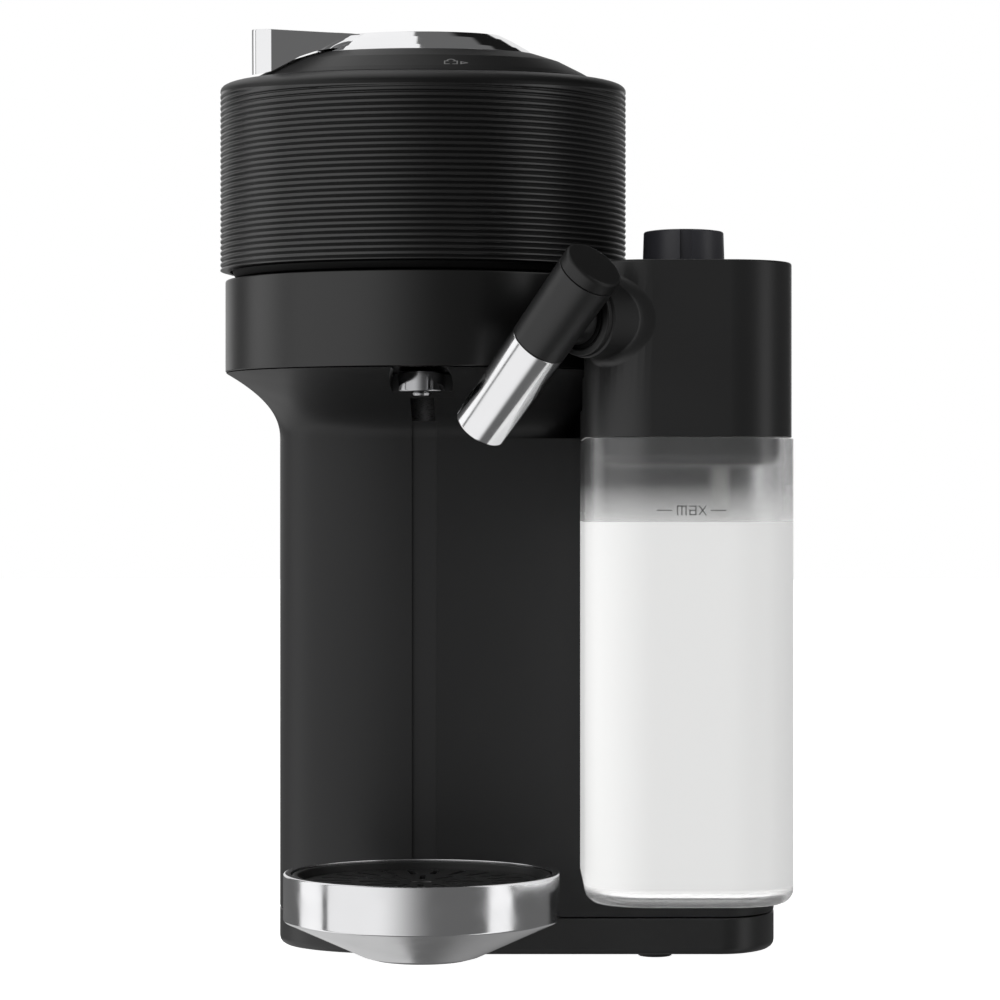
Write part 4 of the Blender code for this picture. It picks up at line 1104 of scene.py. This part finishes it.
def make_milk_spout():
    place = along(SPOUT_PIVOT - spout_direction() * SPOUT_ABOVE, spout_direction())
    top, cap, dark, end = (spout_radius(d) for d in (0, SPOUT_CAP, SPOUT_DARK, SPOUT_LENGTH))
    corners = [(0, 0), (top, 0, 1.12), (cap, SPOUT_CAP, 0.25), (0, SPOUT_CAP)]
    solid = revolve(corners, 160, place)
    piece("spout_end_cap", solid, CAP_BLACK, "milk_spout", "spout_cap", "gloss_black")
    start = SPOUT_CAP + SEAM
    corners = [(0, start), (cap, start, 0.25), (dark, SPOUT_DARK, 0.25), (0, SPOUT_DARK)]
    stub = [(0, 3), (8.6, 3), (8.6, -10.1, 0.3), (5.5, -10.1), (5.5, -30, 0.3), (0, -30)]
    stub = revolve(stub, 128, along(SPOUT_PIVOT, SPOUT_AXIS))
    tube = revolve(corners, 160, place)
    piece("spout_tube", tube, LID_BLACK, "milk_spout", "spout_elbow", "dark_shell", joins=[stub])
    start, depth = SPOUT_DARK + SEAM, SPOUT_LENGTH - 14
    corners = [(0, start), (dark, start, 0.2), (end, SPOUT_LENGTH, 0.8), (6.9, SPOUT_LENGTH, 0.5)]
    corners += [(6.4, depth), (0, depth)]
    solid = revolve(corners, 160, place)
    piece("spout_sleeve", solid, SLEEVE_CHROME, "milk_spout", "spout_tip", "chrome")


def make_jug():
    floor = JUG.z0 + JUG_FLOOR
    outer = slab(lambda inset: jug_outline(inset, JUG_GROW), JUG.z0, JUG.z1, 5.0, 0.3, 6)
    inner = slab(lambda inset: jug_outline(JUG_WALL + inset), floor, JUG.z1 + 6, 4.0, 0.0, 5)
    piece("jug_wall", outer, JUG_CLEAR, "milk_jug", "milk_jug", "jug_clear", cuts=[inner])
    gap = 0.1
    milk = slab(lambda inset: jug_outline(JUG_WALL + 0.08 + inset), floor + gap, MILK_TOP, 4.0, 0.0, 5)
    tube = disc(3.2, floor + gap + 4, MILK_TOP + 5, 104, 2)
    piece("milk", milk, MILK, "milk_jug", cuts=[tube])
    make_max_mark()


def on_front(x, z, out):
    """A point of the jug's flat front, raised by a little."""
    return (x, JUG.y0 - out, z)


def make_max_mark():
    """The fill mark: the word max between two dashes, a thin print on the jug's front."""
    x, z, top, middle = MARK_X, MARK_Z, MARK_Z + MARK_TALL, MARK_Z + MARK_TALL / 2
    lines = [
        [(x - 6.6, middle), (x - 1.9, middle)],
        [(x, z), (x, top), (x + 1.4, top), (x + 1.4, z)],
        [(x + 1.4, top), (x + 2.8, top), (x + 2.8, z)],
        [(x + 4.1, top), (x + 6, top), (x + 6, z), (x + 4.1, z), (x + 4.1, middle), (x + 6, middle)],
        [(x + 7.2, z), (x + 9.3, top)],
        [(x + 9.3, z), (x + 7.2, top)],
        [(x + 11.2, middle), (x + 15.9, middle)],
    ]
    strokes = [stroke(on_front, line, PRINT_WIDTH, PRINT_DEPTH) for line in lines]
    piece("max_mark", joined(*strokes), MARK, "milk_jug")


def make_knob():
    top, low, r = KNOB.z1, LID_Z1 + 0.4, KNOB.radius
    corners = [(0, top), (r - 3, top - 0.1, 3), (r - 0.4, top - 0.5, 0.8), (r, low, 0.3), (5, low)]
    corners += [(5, KNOB.z0), (0, KNOB.z0)]
    solid = revolve(corners, 160, Matrix.Translation((KNOB.x, KNOB.y, 0)))
    notch = block(KNOB.x - 1.95, KNOB.x + 1.95, KNOB.y0 - 2, KNOB.y0 + 1.6, low - 1, top + 1)
    piece("knob_cover", solid, KNOB_GREY, "froth_knob", "froth_knob", "knob_grey", cuts=[notch])


# The tank and the bin


def make_tank():
    wall, floor = 2.4, 2.8
    outer = slab(tank_outline, TANK.z0, TANK.z1, 1.2, 0.5)
    inner = prism(tank_outline(wall), TANK.z0 + floor, TANK.z1 + 5)
    hole = disc(5.9, 15, 30, VALVE.x, VALVE.y)
    piece("tank_wall", outer, TANK_SMOKE, "water_tank", "water_tank", "tank_smoke", cuts=[inner, hole])
    lid = slab(tank_outline, TANK_LID.z0, TANK_LID.z1, 0.4, 1.8)
    dish = slab(lambda inset: tank_outline(9 + inset), TANK_LID.z1 - 1.0, TANK_LID.z1 + 2, 0.6, 0)
    piece("tank_cap", lid, SHELL, "tank_lid", "tank_lid", "dark_shell", cuts=[dish])


def make_bin():
    wall, floor = 2.4, 2.6
    outer = slab(bin_outline, BIN.z0, BIN.z1, 0.5, 0.2)
    inner = prism(bin_outline(wall), BIN.z0 + floor, BIN.z1 + 5)
    window = block(-36, 36, BIN.y0 - 4, BIN.y0 + 6, 213.5, BIN.z1 + 5)
    piece("bin_wall", outer, SHELL, "capsule_bin", "capsule_bin", "dark_shell", cuts=[inner, window])
    cover = slab(bin_outline, BIN_COVER.z0, BIN_COVER.z1, 0.2, 1.4)
    rear, top = BIN.y1, BIN_COVER.z1
    grip = slab(lambda inset: rounded_box(-22, 22, rear - 16, rear - 6, 4, 4, inset), top - 1.2, 245, 0.5)
    piece("bin_top", cover, SHELL, "capsule_bin", "bin_cover", "dark_shell", cuts=[grip])


# Pieces seen when the head is open or the milk unit is out


def make_capsule_cup():
    top = CUP.z1
    corners = [(29, top, 0.5), (33.8, top, 0.4), (33.8, 233.4, 0.2), (31.5, 233.4), (31.5, 219)]
    corners += [(34, 219, 0.3), (34, 217.2, 0.3), (32.8, 217.2), (32.8, 213.2), (34, 213.2, 0.3)]
    corners += [(34, 211.4, 0.3), (28, 209.2), (8, 209.2), (8, CUP.z0, 0.4), (0, CUP.z0)]
    corners += [(0, 212.4), (23, 212.4, 3), (28.4, 224, 6)]
    piece("cup_bowl", revolve(corners, 160), STEEL, "capsule_cup", "capsule_cup", "steel")


def make_piercing_unit():
    corners = [(0, 262), (7, 262, 0.5), (7, 244.6), (31, 244.6, 0.4), (31, 239.6, 0.8)]
    corners += [(22, 239.6, 0.3), (20, 234.6, 0.4), (18, 239.6, 0.3), (2.2, 239.6), (0.8, 233.6, 0.2)]
    corners += [(0, 233.6)]
    piece("piercing_disc", revolve(corners, 128), STEEL, "piercing_unit", "piercing_unit", "steel")


def make_head_floor():
    outer, inner, top, low = 66.8, 32.2, 248.5, 242.2
    corners = [(outer, top), (outer, 244.8, 0.4), (65.6, low, 0.6), (inner, low, 0.6), (inner, top)]
    # The ring gets the near-black painted shade of the gap, not the grey of its inner plastic.
    piece("floor_ring", revolve(corners, 192), GAP_SHADE_BLACK, "head", "head_floor", "inner_plastic")


def make_socket():
    outer, bore, length = SOCKET.radius, 6.3, 17
    corners = [(outer, 0, 0.5), (outer, length), (0, length), (0, 14.5), (bore, 14.5), (bore, 0, 0.5)]
    solid = revolve(corners, 96, along(socket_point(SOCKET.y0), BACKWARD))
    piece("socket_bush", solid, GLOSS, "base", "steam_socket", "gloss_black")


def make_hinge():
    y, z, half = HINGE_Y, HINGE_Z, 30
    outline = arc(y, z, 4.4, 4.4, -90, 45, 16) + [(77, 262), (71.6, 264), (71.6, 250), (76, 243)]
    arm = skin([[(x, v, w) for v, w in outline] for x in (-24, 24)])
    hole = rod(2.35, 0, 80, along((-40, y, z), RIGHT), 32)
    piece("hinge_lug", arm, SHELL, "head", "hinge_arm", "dark_shell", cuts=[hole])
    ear = arc(y, z, 5, 5, 0, 180, 20) + [(y - 5, 241), (y + 5, 241)]
    ears = [skin([[(x, v, w) for v, w in ear] for x in pair]) for pair in ((24.5, half), (-half, -24.5))]
    plate = block(-half, half, y - 6, y + 6, 240.3, 242.0)
    piece("hinge_ears", plate, CAST, "base", "hinge_bracket", "cast_metal", joins=ears, cuts=[hole])
    corners = [(0, 64), (2.0, 64, 0.4), (2.0, 0, 0.4), (0, 0)]
    pin = revolve(corners, 48, along((-32, y, z), RIGHT))
    piece("hinge_rod", pin, STEEL, "base", "hinge_pin", "steel")


def finish_inner_nodes():
    """The plain CAD nodes that stay inside or under the covers get finishes too."""
    finishes = {
        "inner_plastic": INNER, "steel": STEEL, "cast_metal": CAST, "board_green": BOARD, "rubber": RUBBER,
        "hose_white": HOSE, "gloss_black": GLOSS, "dark_shell": SHELL, "ribbed_black": RIBBED,
        "chrome": CHROME, "knob_grey": KNOB_GREY, "jug_clear": JUG_CLEAR, "tank_smoke": TANK_SMOKE,
    }
    slots = {entry["node"]: entry["material_slot"] for entry in frame["record"]["subparts"]}
    for name, node in frame["nodes"].items():
        node.data.materials.clear()
        node.data.materials.append(finishes[slots[name]])


def main():
    finish_inner_nodes()
    make_base()
    make_feet()
    make_gland()
    make_body()
    make_neck()
    make_ring()
    make_coffee_spout()
    make_drum()
    make_dome()
    make_icons()
    make_top_panel()
    make_buttons()
    make_lever()
    make_cup_support()
    make_drip_bowl()
    make_drip_grid()
    make_milk_lid()
    make_lid_insert()
    make_nozzle()
    make_collar()
    make_milk_spout()
    make_jug()
    make_knob()
    make_tank()
    make_bin()
    make_capsule_cup()
    make_piercing_unit()
    make_head_floor()
    make_socket()
    make_hinge()


main()


# Studio


def studio_floor():
    bm = bmesh.new()
    bmesh.ops.create_grid(bm, x_segments=2, y_segments=2, size=6.0)
    mesh = bpy.data.meshes.new("floor")
    bm.to_mesh(mesh)
    bm.free()
    floor = added("floor", mesh)
    n = Finish("floor_white")
    n.finish(Base_Color=tone((0.85, 0.85, 0.85)), Roughness=0.9, Emission_Color=WHITE, Emission_Strength=1.0)
    mesh.materials.append(n.material)
    floor.visible_glossy = False
    floor.visible_diffuse = False


def band(n, value, edges):
    """1 between two edges, falling smoothly to 0 outside them."""
    rise = n.ranged(value, 0, 1, *edges[:2], course="SMOOTHSTEP")
    return n.maths("MULTIPLY", rise, n.ranged(value, 1, 0, *edges[2:], course="SMOOTHSTEP"))


def studio_light():
    """The panels light the machine; the camera itself sees plain white."""
    world = bpy.data.worlds.new("studio")
    bpy.context.scene.world = world
    world.use_nodes = True
    world.node_tree.nodes.clear()
    n = Nodes(world.node_tree)
    x, y, z = n.add("SeparateXYZ", Vector=n.add("TexCoord").outputs["Generated"]).outputs
    azimuth = n.maths("DEGREES", n.maths("ARCTAN2", x, n.maths("MULTIPLY", y, -1.0)))
    elevation = n.maths("DEGREES", n.maths("ARCSINE", z))
    light = 0.0
    for around, up, brightness in PANELS:
        mask = n.maths("MULTIPLY", band(n, azimuth, around), band(n, elevation, up))
        kept = n.maths("MULTIPLY", light, n.maths("SUBTRACT", 1.0, mask))
        light = n.maths("MULTIPLY_ADD", mask, brightness, kept)
    studio = n.add("Background", Color=WHITE, Strength=light).outputs[0]
    white = n.add("Background", Color=WHITE).outputs[0]
    seen = n.both(n.add("LightPath").outputs["Is Camera Ray"], studio, white)
    n.add("OutputWorld", Surface=seen)


def studio_camera():
    camera = added("camera", bpy.data.cameras.new("camera"))
    camera.location = [value * MM for value in CAMERA]
    camera.rotation_euler = (pi / 2, 0, 0)
    camera.data.lens = LENS
    camera.data.clip_start, camera.data.clip_end = 0.05, 50
    bpy.context.scene.camera = camera


studio_floor()
studio_light()
studio_camera()
bpy.context.scene.view_settings.view_transform = "Standard"
